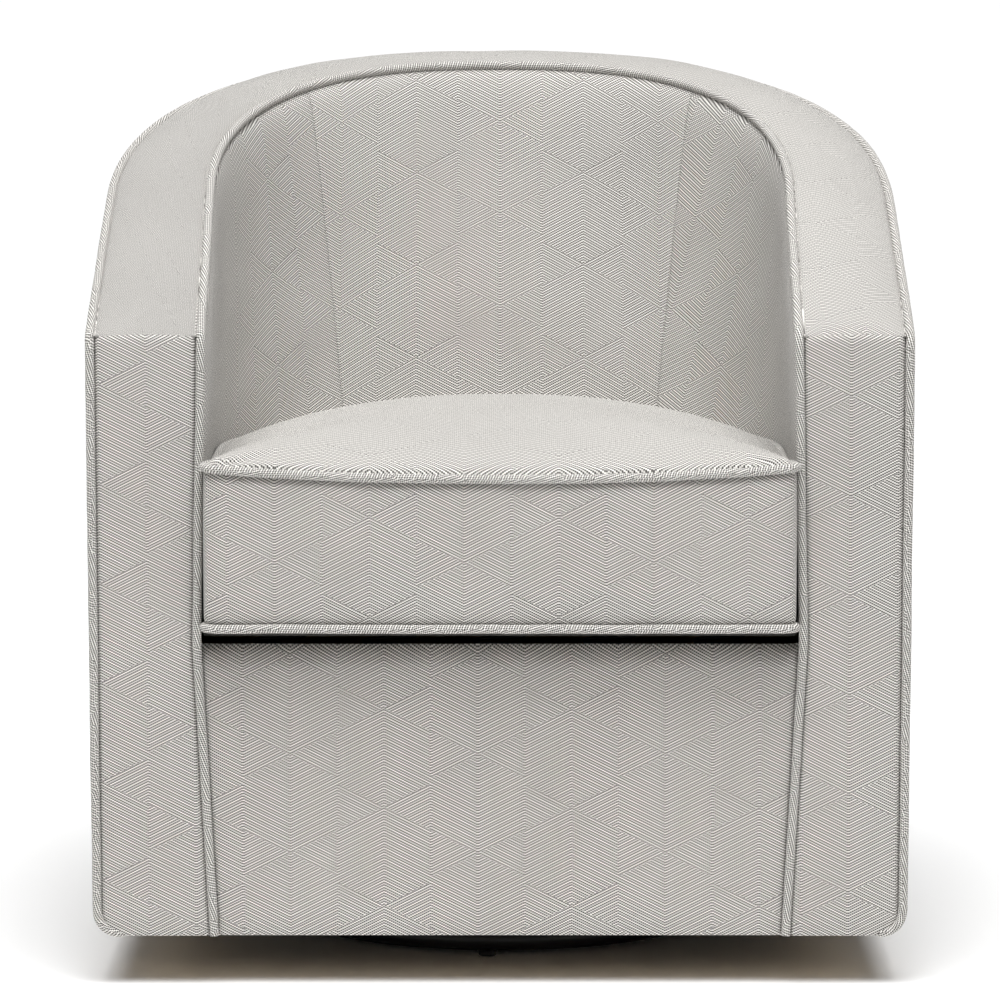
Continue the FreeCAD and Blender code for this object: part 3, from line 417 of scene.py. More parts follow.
def even_stations(curve, z, low, high, count):
    """Stations that are evenly spaced along the wall's plan at a height."""
    s = np.linspace(low, high, 2000)
    x, depth = curve(s, z)
    along = np.concatenate([[0], np.cumsum(np.hypot(np.diff(x), np.diff(depth)))])
    return np.interp(np.linspace(0, along[-1], count), along, s)


def arm_inner_edge(z):
    """Half width between the arm fronts: the inside face, and flared below the deck."""
    z = np.asarray(z, float)
    deck_half = inner_plan(0.0, DECK_LOW.z)[0]
    share = (z - SKIRT_Z) / (DECK_LOW.z - SKIRT_Z)
    low = INNER_HALF - ARM_SPREAD + (deck_half - INNER_HALF + ARM_SPREAD) * share
    return np.where(z >= DECK_LOW.z, inner_plan(np.zeros_like(z), z)[0], low)


def arm_outer_edge(z):
    """Half width over the arm fronts, with the bottom corner rounded by a circle."""
    z = np.asarray(z, float)
    edge = outer_plan(np.zeros_like(z), z)[0]
    below = np.clip(SKIRT_Z + SKIRT_ROUND - z, 0, SKIRT_ROUND)
    return edge - SKIRT_ROUND + np.sqrt(np.maximum(SKIRT_ROUND ** 2 - below ** 2, 0))


def seam_station(z, x, curve_half, power):
    """Station on the left of a wall's curved back where it is x from the middle."""
    cosine = np.clip(x / curve_half, 0, 1) ** (power / 2)
    return 0.5 + np.arccos(cosine) / np.pi


def inner_seam(z):
    """Stations of the seam of the inside back, which leans outwards as it rises."""
    x = INNER_SEAM_X + INNER_SEAM_LEAN * (z - CUSHION_HIGH.z) / (INNER_TOP_Z - CUSHION_HIGH.z)
    half = INNER_HALF + INNER_WIDEN * (1 - inner_share(z)) + INNER_SPLAY * inner_share(z)
    return seam_station(z, x, half, INNER_POWER)


def outer_seam(z):
    """Stations of the upright seam of the outside back."""
    half = OUTER_HALF - OUTER_TAPER * (OUTER_TOP_Z - z) / (OUTER_TOP_Z - SKIRT_Z)
    return seam_station(z, OUTER_SEAM_X, half, OUTER_POWER)


def along_rows(points, start=0.0):
    """Distance along a grid's first direction from its first row, at every point."""
    steps = np.linalg.norm(np.diff(points, axis=0), axis=2)
    return start + np.concatenate([np.zeros((1, points.shape[1])), np.cumsum(steps, axis=0)])


def dense_ends(count):
    """Shares from 0 to 1 that crowd towards both ends, as one row."""
    even = np.linspace(0, 1, count)
    return (0.35 * even + 0.65 * (1 - np.cos(np.pi * even)) / 2)[None, :]


# ---- sizes of the padding ------------------------------------------------------------------
WELT_RECESS = 0.003          # the inner welt's centre lies this deep in its seam
WELT_DEPTH = 0.001           # the front welts' centres behind the arm fronts
ARM_ARCH = 0.0028            # rise of the arm front's top seam at its middle
FRONT_CROWN = 0.003          # crown of the band at the arm front
BAND_CROWN = 0.0125          # and over the back
CROWN_GROWS = 0.15           # depth over which it grows
BEHIND_WELT = 0.010          # station where the side panels start, behind the arm fronts' welts
SEAM_SHARE = 0.45            # share of the arm pillow kept at the arm seam
FRONT_ROLL = 0.006           # quarter turn of the band over the arm front, and its depth
ROLL_DEPTH = 0.016
BAND_PAD = 0.012             # thickness of the band and of the arm fronts
PANEL_PAD = 0.004            # thickness of the outside panels
APRON_ROLL = 0.020           # the apron's top edge rolls back under the cushion by this
APRON_DROP = 0.016           # top of the apron below the cushion
DECK_SETBACK = 0.050         # deck's front edge behind the arm fronts
FRONT_SPREAD = 0.0035        # ahead of the arms the cushion is this much wider each side


# ---- upholstery ----------------------------------------------------------------------------

def arm_front(side, nodes, phase):
    """Facing of one arm: a grid from edge to edge and skirt to arm seam.

    It swells from all its borders by the arm pillow times 1 - e^(-distance/softness).
    """
    rows, columns = 170, 60
    z = SKIRT_Z + (ARM_Z - SKIRT_Z) * np.linspace(0, 1, rows)[:, None] ** 1.3
    t = dense_ends(columns)
    inner, outer = arm_inner_edge(z) + WELT_RECESS, arm_outer_edge(z)
    x = inner + (outer - inner) * t
    arch = ARM_ARCH * (1 - (2 * t - 1) ** 2) * ease(z, ARM_Z - 0.09, ARM_Z)
    from_side = np.minimum(t, 1 - t) * (outer - inner)
    at_seam = SEAM_SHARE + (1 - SEAM_SHARE) * swell(ARM_Z - z, 0.003)
    full = swell(from_side, 0.009) * at_seam * swell(z - SKIRT_Z + 0.001, 0.006)
    wave = 0.0006 * puckers(x, z, 0.12, 3 + side) * full * swell(ARM_Z - z, 0.01)
    lift = shape().arm_pillow * full + wave
    y = FRONT_Y + WELT_DEPTH - lift + groove(from_side)
    height = z + arch
    front = np.stack([side * x, y, height], -1)
    back = front.copy()
    back[..., 1] = FRONT_Y + BAND_PAD
    cloth = np.stack([front[..., 0] - phase[0], front[..., 2] - phase[1]], -1)
    piece = make_pad("arm_facing_left" if side > 0 else "arm_facing_right", front, back, cloth,
                     cover_material())
    settle(piece, "seat", nodes)


def top_band():
    """Band over the arms and back: stations by shares of the way from outer to inner rim.

    Its arch grows from the arm fronts, where it rolls over a quarter circle to the arm seam.
    """
    stations = even_stations(outer_plan, OUTER_TOP_Z, 0, 2, 420)
    t = dense_ends(61)
    s = stations[:, None]
    x0, d0 = outer_plan(s, outer_rim(s))
    inner = on_wall(inner_plan, s, inner_rim(s), WELT_RECESS)
    x = x0 + (inner[..., 0] - x0) * t
    y = FRONT_Y + d0 + (inner[..., 1] - FRONT_Y - d0) * t
    rim = outer_rim(s) + (inner_rim(s) - outer_rim(s)) * t
    depth = y - FRONT_Y
    crown = FRONT_CROWN + (BAND_CROWN - FRONT_CROWN) * ease(depth, 0, CROWN_GROWS)
    arc = 1 - np.abs(2 * t - 1) ** 2.2
    roll = FRONT_ROLL * (1 - np.abs(2 * t - 1) ** 4) * (1 - ease(depth, 0, CROWN_GROWS))
    valley = groove(np.minimum(t, 1 - t) * ARM_WIDTH, 0.003)
    near = np.clip(depth / ROLL_DEPTH, 0, 1)
    front_drop = roll * (1 - np.sqrt(1 - (1 - near) ** 2))
    wave = 0.0007 * puckers(along_rows(np.stack([x, y, rim], -1)), t * ARM_WIDTH, 0.09, 5)
    z = rim + (crown + roll + wave - front_drop) * arc - valley
    low = rim + crown * arc - BAND_PAD
    top = np.stack([x, y, z], -1)
    under = np.stack([x, y, low], -1)
    lip = top[:1].copy()
    from_side = np.minimum(t[0], 1 - t[0]) * ARM_WIDTH
    proud = SEAM_SHARE * shape().arm_pillow * swell(from_side, 0.009)
    lip[..., 1] = FRONT_Y + WELT_DEPTH - proud + groove(from_side)
    lip[..., 2] = ARM_Z + ARM_ARCH * (1 - (2 * t[0] - 1) ** 2)
    first, last = lip, lip * (-1, 1, 1)
    top[0, :, 2] = np.maximum(top[0, :, 2], lip[0, :, 2] + 0.0004)
    top[-1, :, 2] = top[0, :, 2]
    top = np.concatenate([first, top, last])
    inside = under[:1].copy()
    inside[..., 1] = FRONT_Y + BAND_PAD
    under = np.concatenate([inside, under, inside * (-1, 1, 1)])
    cloth = np.stack([np.broadcast_to(t * ARM_WIDTH, top.shape[:2]), along_rows(top)], -1)
    piece = make_pad("band", top, under, cloth, cover_material())
    settle(piece, "seat", ["top_band"])


def inside_panel(name, nodes, low, high, count, seams, seed):
    """Inside of the tub between two stations that may lean with height, seat deck to rim.

    Every point is on the inner wall, moved to the sitter by a swell from the seams and the rim.
    """
    rise_rows = 96
    middle_z = 0.65
    even = even_stations(inner_plan, middle_z, float(low(middle_z)), float(high(middle_z)), count)
    f = (even - even[0]) / (even[-1] - even[0])
    share = np.linspace(0, 1, rise_rows)[None, :]
    bottom = DECK_LOW.z + 0.002
    z = np.broadcast_to(bottom + (INNER_TOP_Z - bottom) * share, (count, rise_rows))
    for __ in range(4):
        s = low(z) + (high(z) - low(z)) * f[:, None]
        z = bottom + (inner_rim(s) - bottom) * share
    flat = on_wall(inner_plan, s, z)
    along = along_rows(flat)
    length = along[-1:]
    from_seam = np.minimum(np.where(seams[0], along, 1.0), np.where(seams[1], length - along, 1.0))
    from_front = np.minimum(1.0 if seams[0] else along, 1.0 if seams[1] else length - along)
    tall = inner_rim(s) - z
    full = (0.85 + 0.15 * swell(from_seam, 0.006)) * swell(tall, 0.016) * swell(from_front, 0.012)
    out = WELT_RECESS - (shape().back_pillow + WELT_RECESS) * full * ease(z, 0.30, 0.60)
    out = out - 0.0012 * puckers(along, z, 0.13, seed) * full + groove(tall, 0.003)
    face = on_wall(inner_plan, s, z, out)
    rear = on_wall(inner_plan, s, z, WELT_RECESS + 0.02)
    start = -length / 2 if all(seams) else 0.0
    cloth = np.stack([along + start, z - CUSHION_HIGH.z], -1)
    piece = make_pad(name, face, rear, cloth, cover_material())
    settle(piece, "seat", nodes)


def outside_panel(name, nodes, low, high, count, seams, seed):
    """Outside of the tub from the rim to a skirt that curls under in a quarter circle.

    Heights above the curl are on the outer wall; points of the curl are its centre plus the
    skirt radius along the level normal and down.
    """
    curl_rows, wall_rows = 14, 90
    middle_z = 0.45
    even = even_stations(outer_plan, middle_z, float(low(middle_z)), float(high(middle_z)), count)
    f = (even - even[0]) / (even[-1] - even[0])
    turn = np.linspace(-np.pi / 2, 0, curl_rows)[None, :]
    curl_z = SKIRT_Z + SKIRT_ROUND
    s0 = low(curl_z) + (high(curl_z) - low(curl_z)) * f[:, None]
    share = np.linspace(0, 1, wall_rows)[None, 1:]
    z = np.broadcast_to(curl_z + (OUTER_TOP_Z - curl_z) * share, (count, wall_rows - 1))
    for __ in range(3):
        s = low(z) + (high(z) - low(z)) * f[:, None]
        z = curl_z + (outer_rim(s) - curl_z) * share
    faces = []
    for thick in (0.0, PANEL_PAD):
        radius = SKIRT_ROUND - thick
        curl = on_wall(outer_plan, s0, curl_z, -SKIRT_ROUND + radius * np.cos(turn))
        curl[..., 2] += radius * np.sin(turn)
        flat = on_wall(outer_plan, s, z, -thick)
        along = along_rows(flat)
        length = along[-1:]
        from_seam = np.minimum(along + (0 if seams[0] else 1), length - along + (0 if seams[1] else 1))
        dip = 0.0022 * np.exp(-from_seam / 0.006) + 0.002 * np.exp(-(outer_rim(s) - z) / 0.008)
        swing = 0.0012 * puckers(along, z, 0.22, seed) * swell(outer_rim(s) - z, 0.03)
        flat = on_wall(outer_plan, s, z, -thick - dip - 0.0008 + swing)
        faces.append(np.concatenate([curl, flat], axis=1))
    along = along_rows(faces[0])
    climb = np.concatenate([np.full(curl.shape[:2], SKIRT_Z) + SKIRT_ROUND * (turn + np.pi / 2), z], 1)
    piece = make_pad(name, faces[0], faces[1], np.stack([along, climb], -1), cover_material())
    settle(piece, "seat", nodes)


def apron():
    """Facing under the cushion: a grid between the inner welts, slack, with its top rolled back."""
    rows, columns = 90, 160
    z = SKIRT_Z + (CUSHION_BOTTOM - APRON_DROP - SKIRT_Z) * np.linspace(0, 1, rows)[:, None]
    t = 2 * dense_ends(columns) - 1
    x = (arm_inner_edge(z) + 0.001) * t
    from_side = (1 - np.abs(t)) * INNER_HALF
    full = swell(from_side, 0.010) * swell(z - SKIRT_Z + 0.001, 0.006)
    slack = 0.0016 * puckers(x, z, 0.15, 11) * ease(z, 0.06, 0.16)
    roll = APRON_ROLL * (1 - np.sqrt(1 - (1 - np.clip((z.max() - z) / APRON_ROLL, 0, 1)) ** 2))
    y = APRON_FRONT_Y + 0.001 - (0.003 + slack) * full + roll + groove(from_side + 0.003, 0.003)
    front = np.stack([x, y, np.broadcast_to(z, x.shape)], -1)
    back = front.copy()
    back[..., 1] = np.maximum(APRON_FRONT_Y + 0.010, y + 0.002)
    cloth = np.stack([x + 0.0206, front[..., 2] - 0.238], -1)
    piece = make_pad("apron", front, back, cloth, cover_material())
    settle(piece, "seat", ["front_apron"])


def edge_path(edge, rim_points, turn):
    """Welt's path from one arm front's foot, up its edge, round the rim and down the other."""
    y = FRONT_Y + WELT_DEPTH
    z = np.linspace(SKIRT_Z + turn, ARM_Z, 60)
    rising = np.stack([edge(z), np.full_like(z, y), z], -1)
    if turn:
        angle = np.linspace(-np.pi / 2, 0, 12)[:-1]
        centre = edge(SKIRT_Z + turn) - turn
        foot = SKIRT_Z + shape().welt_radius / 2
        bend = np.stack([centre + turn * np.cos(angle), np.full_like(angle, y),
                         SKIRT_Z + turn + (SKIRT_Z + turn - foot) * np.sin(angle)], -1)
        start = np.array([[centre - 0.5 * turn, y + 0.018, foot + 0.004],
                          [centre - 0.2 * turn, y + 0.006, foot]])
        rising = np.concatenate([start, bend, rising])
    falling = rising[::-1] * (-1, 1, 1)
    return np.concatenate([rising, rim_points, falling])


def welt(name, nodes, edge, curve, top_z, rim, recess, turn):
    """Cord covered in bias-cut cloth, its corners eased, and never quite straight or round."""
    stations = even_stations(curve, top_z, 0.02, 1.98, 500)
    over = on_wall(curve, stations, rim(stations), recess)
    step = 0.004
    path = softened(edge_path(edge, over, turn), step, 3 * step)
    run = np.arange(len(path)) * step
    wander = 0.00035 * puckers(run, 0 * run, 0.11, 21)[:, None] * (1, 0.4, 1)
    radius = shape().welt_radius * (1 + 0.05 * puckers(run, 0 * run, 0.03, 23))
    piece = make_tube(name, path + wander, radius, 16, cover_material(), bias=math.pi / 4)
    settle(piece, "seat", nodes)


def settle(piece, body, nodes):
    """Attaches a padded piece to its body and hides the nodes it stands for."""
    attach(piece, body)
    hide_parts(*nodes)


# ---- loose cushion -------------------------------------------------------------------------

def cushion_sizes(z, inset):
    """Half width, splay, straight depth and reach of the cushion's outline at a height."""
    share = inner_share(z)
    half = CUSHION_HIGH.x - inset
    splay = INNER_SPLAY * inner_share(CUSHION_BOTTOM)
    straight = DECK_STRAIGHT + (WALL_STRAIGHT - DECK_STRAIGHT) * share
    reach = DECK_REACH + (INNER_REACH - DECK_REACH) * share - 0.005 - inset
    return half, splay, straight, reach


def cushion_loop(z, inset, count, corner=0.014):
    """Even points round the cushion at a height, from the front centre, corners rounded."""
    half, splay, straight, reach = cushion_sizes(z, inset)
    front = CUSHION_FRONT + inset
    radius = min(corner, half * 0.6)
    angle = np.linspace(-np.pi / 2, 0, 12)
    bend = np.stack([half - radius + radius * np.cos(angle), front + radius + radius * np.sin(angle)], -1)
    first = min(0.5 * (front + radius + 0.02) / straight, 0.49)
    s = np.linspace(max(first, 0.0), 1.0, 80)
    x, depth = plan(s, half, splay, straight, reach, INNER_POWER)
    right = np.concatenate([[[0.0, front]], bend, np.stack([x, depth], -1)])
    loop = np.concatenate([right, right[-2::-1] * (-1, 1)])
    loop[:, 0] *= 1 + FRONT_SPREAD / CUSHION_HIGH.x * (1 - ease(loop[:, 1], -0.012, 0.006))
    return resample(loop, np.linalg.norm(np.diff(loop, axis=0), axis=1).sum() / count)[:count]


def seam_height(x, y, low_seam):
    """Height of the cushion's seams; the upper one lifts towards the two front corners."""
    if low_seam:
        return np.full_like(x, CUSHION_BOTTOM + shape().cushion_welt_radius)
    top = CUSHION_BOTTOM + CUSHION_THICK - shape().cushion_welt_radius
    at_front = 1 - ease(y - FRONT_Y, 0.0, 0.11)
    return top + 0.010 * at_front * np.clip(np.abs(x) / CUSHION_HIGH.x, 0, 1) ** 2.5


def across_and_back(loop):
    """Across and back coordinates of an outline given as across and depth."""
    return loop[:, 0], loop[:, 1] + FRONT_Y


def ring(loop, height):
    """Points of an outline at a height."""
    return np.stack([loop[:, 0], loop[:, 1] + FRONT_Y, np.broadcast_to(height, len(loop))], -1)


def cushion_blank():
    """Closed stack of outlines: bottom panel, boxing, and a top panel crowned by a power law.

    The crown is (1 - (1 - inset/half)^3)^0.62 of its full height at an inset from the seam.
    """
    count = 300
    rings = []
    for inset in (0.20, 0.12, 0.05, 0.0):
        loop = cushion_loop(CUSHION_BOTTOM, inset, count)
        rings.append(ring(loop, seam_height(*across_and_back(loop), True) - 0.002 * (inset > 0)))
    base_loop = cushion_loop(CUSHION_BOTTOM + CUSHION_THICK, 0.0, count)
    low, high = seam_height(*across_and_back(base_loop), True), seam_height(*across_and_back(base_loop), False)
    for share in np.linspace(0.12, 1, 9):
        z = CUSHION_BOTTOM + CUSHION_THICK * share
        rings.append(ring(cushion_loop(z, 0.0, count), low + (high - low) * share))
    rise_full = shape().cushion_peak - (CUSHION_BOTTOM + CUSHION_THICK)
    for inset in (0.006, 0.014, 0.026, 0.045, 0.070, 0.100, 0.140, 0.190, 0.240):
        loop = cushion_loop(CUSHION_BOTTOM + CUSHION_THICK, inset, count)
        lift = rise_full * (1 - (1 - inset / CUSHION_HIGH.x) ** 3) ** 0.62
        rings.append(ring(loop, high + (high[0] - high) * ease(inset, 0.0, 0.05) + lift))
    points = np.concatenate(rings)
    quads = grid_faces(len(rings), count, wrap=True)
    mesh = bpy.data.meshes.new("cushion_blank")
    caps = [list(range(count))[::-1], list(range(len(points) - count, len(points)))]
    mesh.from_pydata(points.tolist(), [], quads.tolist() + caps)
    return mesh


def vertex_array(mesh):
    """Vertices of a mesh as rows of three."""
    points = np.empty(len(mesh.vertices) * 3)
    mesh.vertices.foreach_get("co", points)
    return points.reshape(-1, 3)


def inflate(piece):
    """Cloth blown up against its own seams for twenty steps, with no gravity."""
    mesh = piece.data
    points = vertex_array(mesh)
    near = np.minimum(np.abs(points[:, 2] - seam_height(points[:, 0], points[:, 1], True)),
                      np.abs(points[:, 2] - seam_height(points[:, 0], points[:, 1], False)))
    half = CUSHION_HIGH.x
    outline = (np.abs(points[:, 0]) > half - 0.012) | (points[:, 1] < FRONT_Y + CUSHION_FRONT + 0.012)
    back = points[:, 1] > FRONT_Y + 0.2
    held = np.flatnonzero((near < 0.004) & (outline | back))
    group = piece.vertex_groups.new(name="seams")
    group.add(held.tolist(), 1.0, "REPLACE")
    cloth = piece.modifiers.new("cloth", "CLOTH")
    cloth.settings.vertex_group_mass = "seams"
    cloth.settings.use_pressure = True
    cloth.settings.uniform_pressure_force = 4.0
    cloth.settings.quality = 6
    cloth.settings.tension_stiffness = 30
    cloth.settings.compression_stiffness = 30
    cloth.settings.bending_stiffness = 1.0
    cloth.settings.effector_weights.gravity = 0.0
    cloth.point_cache.frame_start, cloth.point_cache.frame_end = 1, 20
    scene = bpy.context.scene
    for step in range(1, 21):
        scene.frame_set(step)
    scene.frame_set(20)
    result = piece.evaluated_get(bpy.context.evaluated_depsgraph_get())
    moved = vertex_array(result.data)
    scene.frame_set(1)
    piece.modifiers.remove(cloth)
    shift = moved - points
    size = np.linalg.norm(shift, axis=1, keepdims=True)
    limit = 0.024
    return points + shift * np.minimum(1, limit / np.maximum(size, 1e-9))


def held_in(points):
    """Points brought back inside the arms and back, by scaling about the middle of the plan."""
    x, depth, z = points[:, 0], points[:, 1] - FRONT_Y, points[:, 2]
    half, splay, straight, reach = cushion_sizes(np.clip(z, CUSHION_BOTTOM, 0.48), 0.0)
    limit = half + (FRONT_SPREAD + 0.001) * (1 - ease(depth, -0.012, 0.006))
    x = np.where(depth < straight, np.clip(x, -limit, limit), x)
    past = np.clip((depth - straight) / (reach - straight), 0, None)
    round_out = (np.abs(x) / (half + splay)) ** INNER_POWER + past ** INNER_POWER
    shrink = np.where((round_out > 1) & (depth >= straight), round_out ** (-1 / INNER_POWER), 1)
    x = np.where(depth >= straight, x * shrink, x)
    depth = np.where(depth >= straight, straight + (depth - straight) * shrink, depth)
    return np.stack([x, depth + FRONT_Y, z], -1)


def cushion():
    """Seat cushion: the blank remeshed evenly, inflated against its seams, then smoothed."""
    piece = bpy.data.objects.new("seat_cushion", cushion_blank())
    bpy.context.scene.collection.objects.link(piece)
    remesh = piece.modifiers.new("remesh", "REMESH")
    remesh.mode = "VOXEL"
    remesh.voxel_size = 0.005
    apply_modifiers(piece)
    points = vertex_array(piece.data)
    points = inflate(piece)
    piece.data.vertices.foreach_set("co", held_in(shaped(points)).reshape(-1))
    piece.data.update()
    subdivide = piece.modifiers.new("smooth", "SUBSURF")
    subdivide.levels = subdivide.render_levels = 1
    apply_modifiers(piece)
    cushion_cloth(piece.data)
    piece.data.shade_smooth()
    piece.data.materials.append(cover_material())
    settle(piece, "cushion", ["cushion_cover", "cushion_core"])


def shaped(points):
    """Cushion with its crown at full height, gathers and ripples, and grooves at its front seams."""
    low = seam_height(points[:, 0], points[:, 1], True)
    high = seam_height(points[:, 0], points[:, 1], False)
    above = points[:, 2] > high
    peak = points[above, 2].max()
    gain = (shape().cushion_peak - high.min()) / (peak - high.min())
    points[:, 2] = np.where(above, high + (points[:, 2] - high) * gain, points[:, 2])
    points[:, 2] = np.maximum(points[:, 2], CUSHION_BOTTOM - 0.0005)
    gather = np.exp(-np.abs(points[:, 2] - high) / 0.022)
    run = points[:, 0] + points[:, 1]
    points[:, 2] += 0.0007 * gather * puckers(run, points[:, 0] - points[:, 1], 0.03, 31)
    front = points[:, 1] < FRONT_Y + 0.02
    boxing = (points[:, 2] > low + 0.004) & (points[:, 2] < high - 0.004) & front
    ripple = 0.0010 * puckers(points[:, 0], points[:, 2], 0.10, 33)
    points[:, 1] += np.where(boxing, ripple, 0)
    seam_low = np.exp(-((points[:, 2] - low) / 0.006) ** 2)
    seam_high = np.exp(-((points[:, 2] - high) / 0.006) ** 2)
    points[:, 1] += np.where(front, 0.0045 * seam_low + 0.006 * seam_high, 0)
    return points


def apply_modifiers(piece):
    """Replaces a piece's mesh by what its modifiers make of it."""
    result = piece.evaluated_get(bpy.context.evaluated_depsgraph_get())
    mesh = bpy.data.meshes.new_from_object(result)
    piece.modifiers.clear()
    piece.data = mesh


def cushion_cloth(mesh):
    """Cloth points of the cushion: across and deep on its panels, round and up on its boxing."""
    points = vertex_array(mesh)
    loops = np.empty(len(mesh.loops), int)
    mesh.loops.foreach_get("vertex_index", loops)
    starts = np.empty(len(mesh.polygons), int)
    totals = np.empty(len(mesh.polygons), int)
    mesh.polygons.foreach_get("loop_start", starts)
    mesh.polygons.foreach_get("loop_total", totals)
    centre = np.add.reduceat(points[loops], starts) / totals[:, None]
    normal = np.empty(len(mesh.polygons) * 3)
    mesh.polygons.foreach_get("normal", normal)
    normal = normal.reshape(-1, 3)
    panel = ((centre[:, 2] > seam_height(centre[:, 0], centre[:, 1], False))
             | (centre[:, 2] < seam_height(centre[:, 0], centre[:, 1], True)))
    sideways = ~panel & (np.abs(normal[:, 0]) > np.abs(normal[:, 1]))
    owner = np.repeat(np.arange(len(starts)), totals)
    corner = points[loops]
    side = np.sign(corner[:, 0]) * (CUSHION_HIGH.x + corner[:, 1] - FRONT_Y - CUSHION_FRONT)
    across = np.where(sideways[owner], side, corner[:, 0]) + 0.207
    upward = np.where(panel[owner], corner[:, 1], corner[:, 2] - 0.42)
    layer = mesh.uv_layers.new(name="weave")
    layer.data.foreach_set("uv", np.stack([across, upward], -1).reshape(-1))


def cushion_welts():
    """Two closed covered cords round the cushion, in its seams."""
    for name, low_seam in (("cushion_welt_low", True), ("cushion_welt_high", False)):
        z = CUSHION_BOTTOM if low_seam else CUSHION_BOTTOM + CUSHION_THICK
        loop = cushion_loop(z, 0.0005, 560)
        path = ring(loop, seam_height(*across_and_back(loop), low_seam))
        run = np.arange(len(path)) * 0.004
        path[:, 2] += 0.0005 * puckers(run, 0 * run, 0.12, 41 + low_seam)
        radius = shape().cushion_welt_radius
        piece = make_tube(name, path, radius, 16, cover_material(), bias=math.pi / 4, closed=True)
        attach(piece, "cushion")
        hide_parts("cushion_welts")


def zipper():
    """Zipper on the cushion's back: tape strip, two rows of teeth, and a slider at one end."""
    low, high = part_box("cushion_zipper")
    middle, half_width = (low.z + high.z) / 2, (high.z - low.z) / 2
    s = np.linspace(0.7, 1.3, 160)[:, None]
    z = middle + np.linspace(-1, 1, 9)[None, :] * half_width
    half, splay, straight, reach = cushion_sizes(z, 0.0)

    def curve(station, height):
        return plan(station, half, splay, straight, reach, INNER_POWER)

    face = on_wall(curve, s, z, 0.0022)
    rear = on_wall(curve, s, z, 0.0006)
    along = along_rows(face)
    tape = make_pad("zipper_tape", face, rear, np.stack([along, z + 0 * s], -1), bare("zipper_tape"))
    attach(tape, "cushion")
    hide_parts("cushion_zipper")
    half, splay, straight, reach = cushion_sizes(middle, 0.0)
    line = on_wall(curve, np.linspace(0.72, 1.28, 2000), middle, 0.0026)
    line = resample(line, 0.0028)
    ahead = np.gradient(line, axis=0)
    ahead /= np.linalg.norm(ahead, axis=1)[:, None]
    up = np.tile((0.0, 0.0, 1.0), (len(line), 1))
    hand = np.where(np.arange(len(line)) % 2, 1, -1)[:, None]
    teeth = boxes("zipper_teeth", line + up * 0.0013 * hand, ahead, up, (0.0009, 0.0022, 0.0009),
                  bare("zipper_teeth"))
    pull = boxes("zipper_slider", line[6:7], ahead[6:7], up[6:7], (0.005, 0.004, 0.0016),
                 bare("zinc_steel"))
    for piece in (teeth, pull):
        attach(piece, "cushion")


def boxes(name, centres, along, up, half_sizes, material):
    """Many small boxes as one piece, each centred on a point and turned to two directions."""
    through = np.cross(along, up)
    signs = np.array([(i, j, k) for i in (-1, 1) for j in (-1, 1) for k in (-1, 1)], float)
    offsets = (signs[None, :, 0:1] * along[:, None] * half_sizes[0]
               + signs[None, :, 1:2] * up[:, None] * half_sizes[1]
               + signs[None, :, 2:3] * through[:, None] * half_sizes[2])
    points = (centres[:, None] + offsets).reshape(-1, 3)
    one = np.array([(0, 1, 3, 2), (4, 6, 7, 5), (0, 4, 5, 1), (2, 3, 7, 6), (0, 2, 6, 4), (1, 5, 7, 3)])
    quads = (one[None] + 8 * np.arange(len(centres))[:, None, None]).reshape(-1, 4)
    piece = make_piece(name, points, quads, material=material)
    piece.data.shade_flat()
    return piece


# ---- hidden cloths -------------------------------------------------------------------------

def deck():
    """Padded deck under the cushion: rows of depth by shares of the tub's width there."""
    reach, straight = DECK_REACH - 0.002, DECK_STRAIGHT
    depth = DECK_SETBACK + (reach - DECK_SETBACK - 0.0005) * np.sin(np.linspace(0, np.pi / 2, 70))[:, None]
    past = np.clip((depth - straight) / (reach - straight), 0, 1)
    half = (INNER_HALF + INNER_WIDEN - 0.002) * (1 - past ** INNER_POWER) ** (1 / INNER_POWER) + 0.001
    t = np.linspace(-1, 1, 80)[None, :]
    x = half * t
    swollen = swell((1 - np.abs(t)) * half, 0.02) * swell(depth - DECK_SETBACK, 0.01)
    top = DECK_HIGH.z - 0.001 + 0.001 * swollen + 0.0006 * puckers(x, depth, 0.1, 51) * swollen
    top = top - 0.008 * (1 - swell(depth - DECK_SETBACK, 0.006))
    y = np.broadcast_to(depth + FRONT_Y, x.shape)
    face = np.stack([x, y, top], -1)
    rear = np.stack([x, y, np.full_like(x, DECK_LOW.z + 0.0005)], -1)
    # The deck's near-black cloth is painted shade: it fills the gap under the cushion's overhang with dark.
    piece = make_pad("deck", face, rear, face[..., :2], bare("deck_felt"))
    settle(piece, "seat", ["deck_pad"])


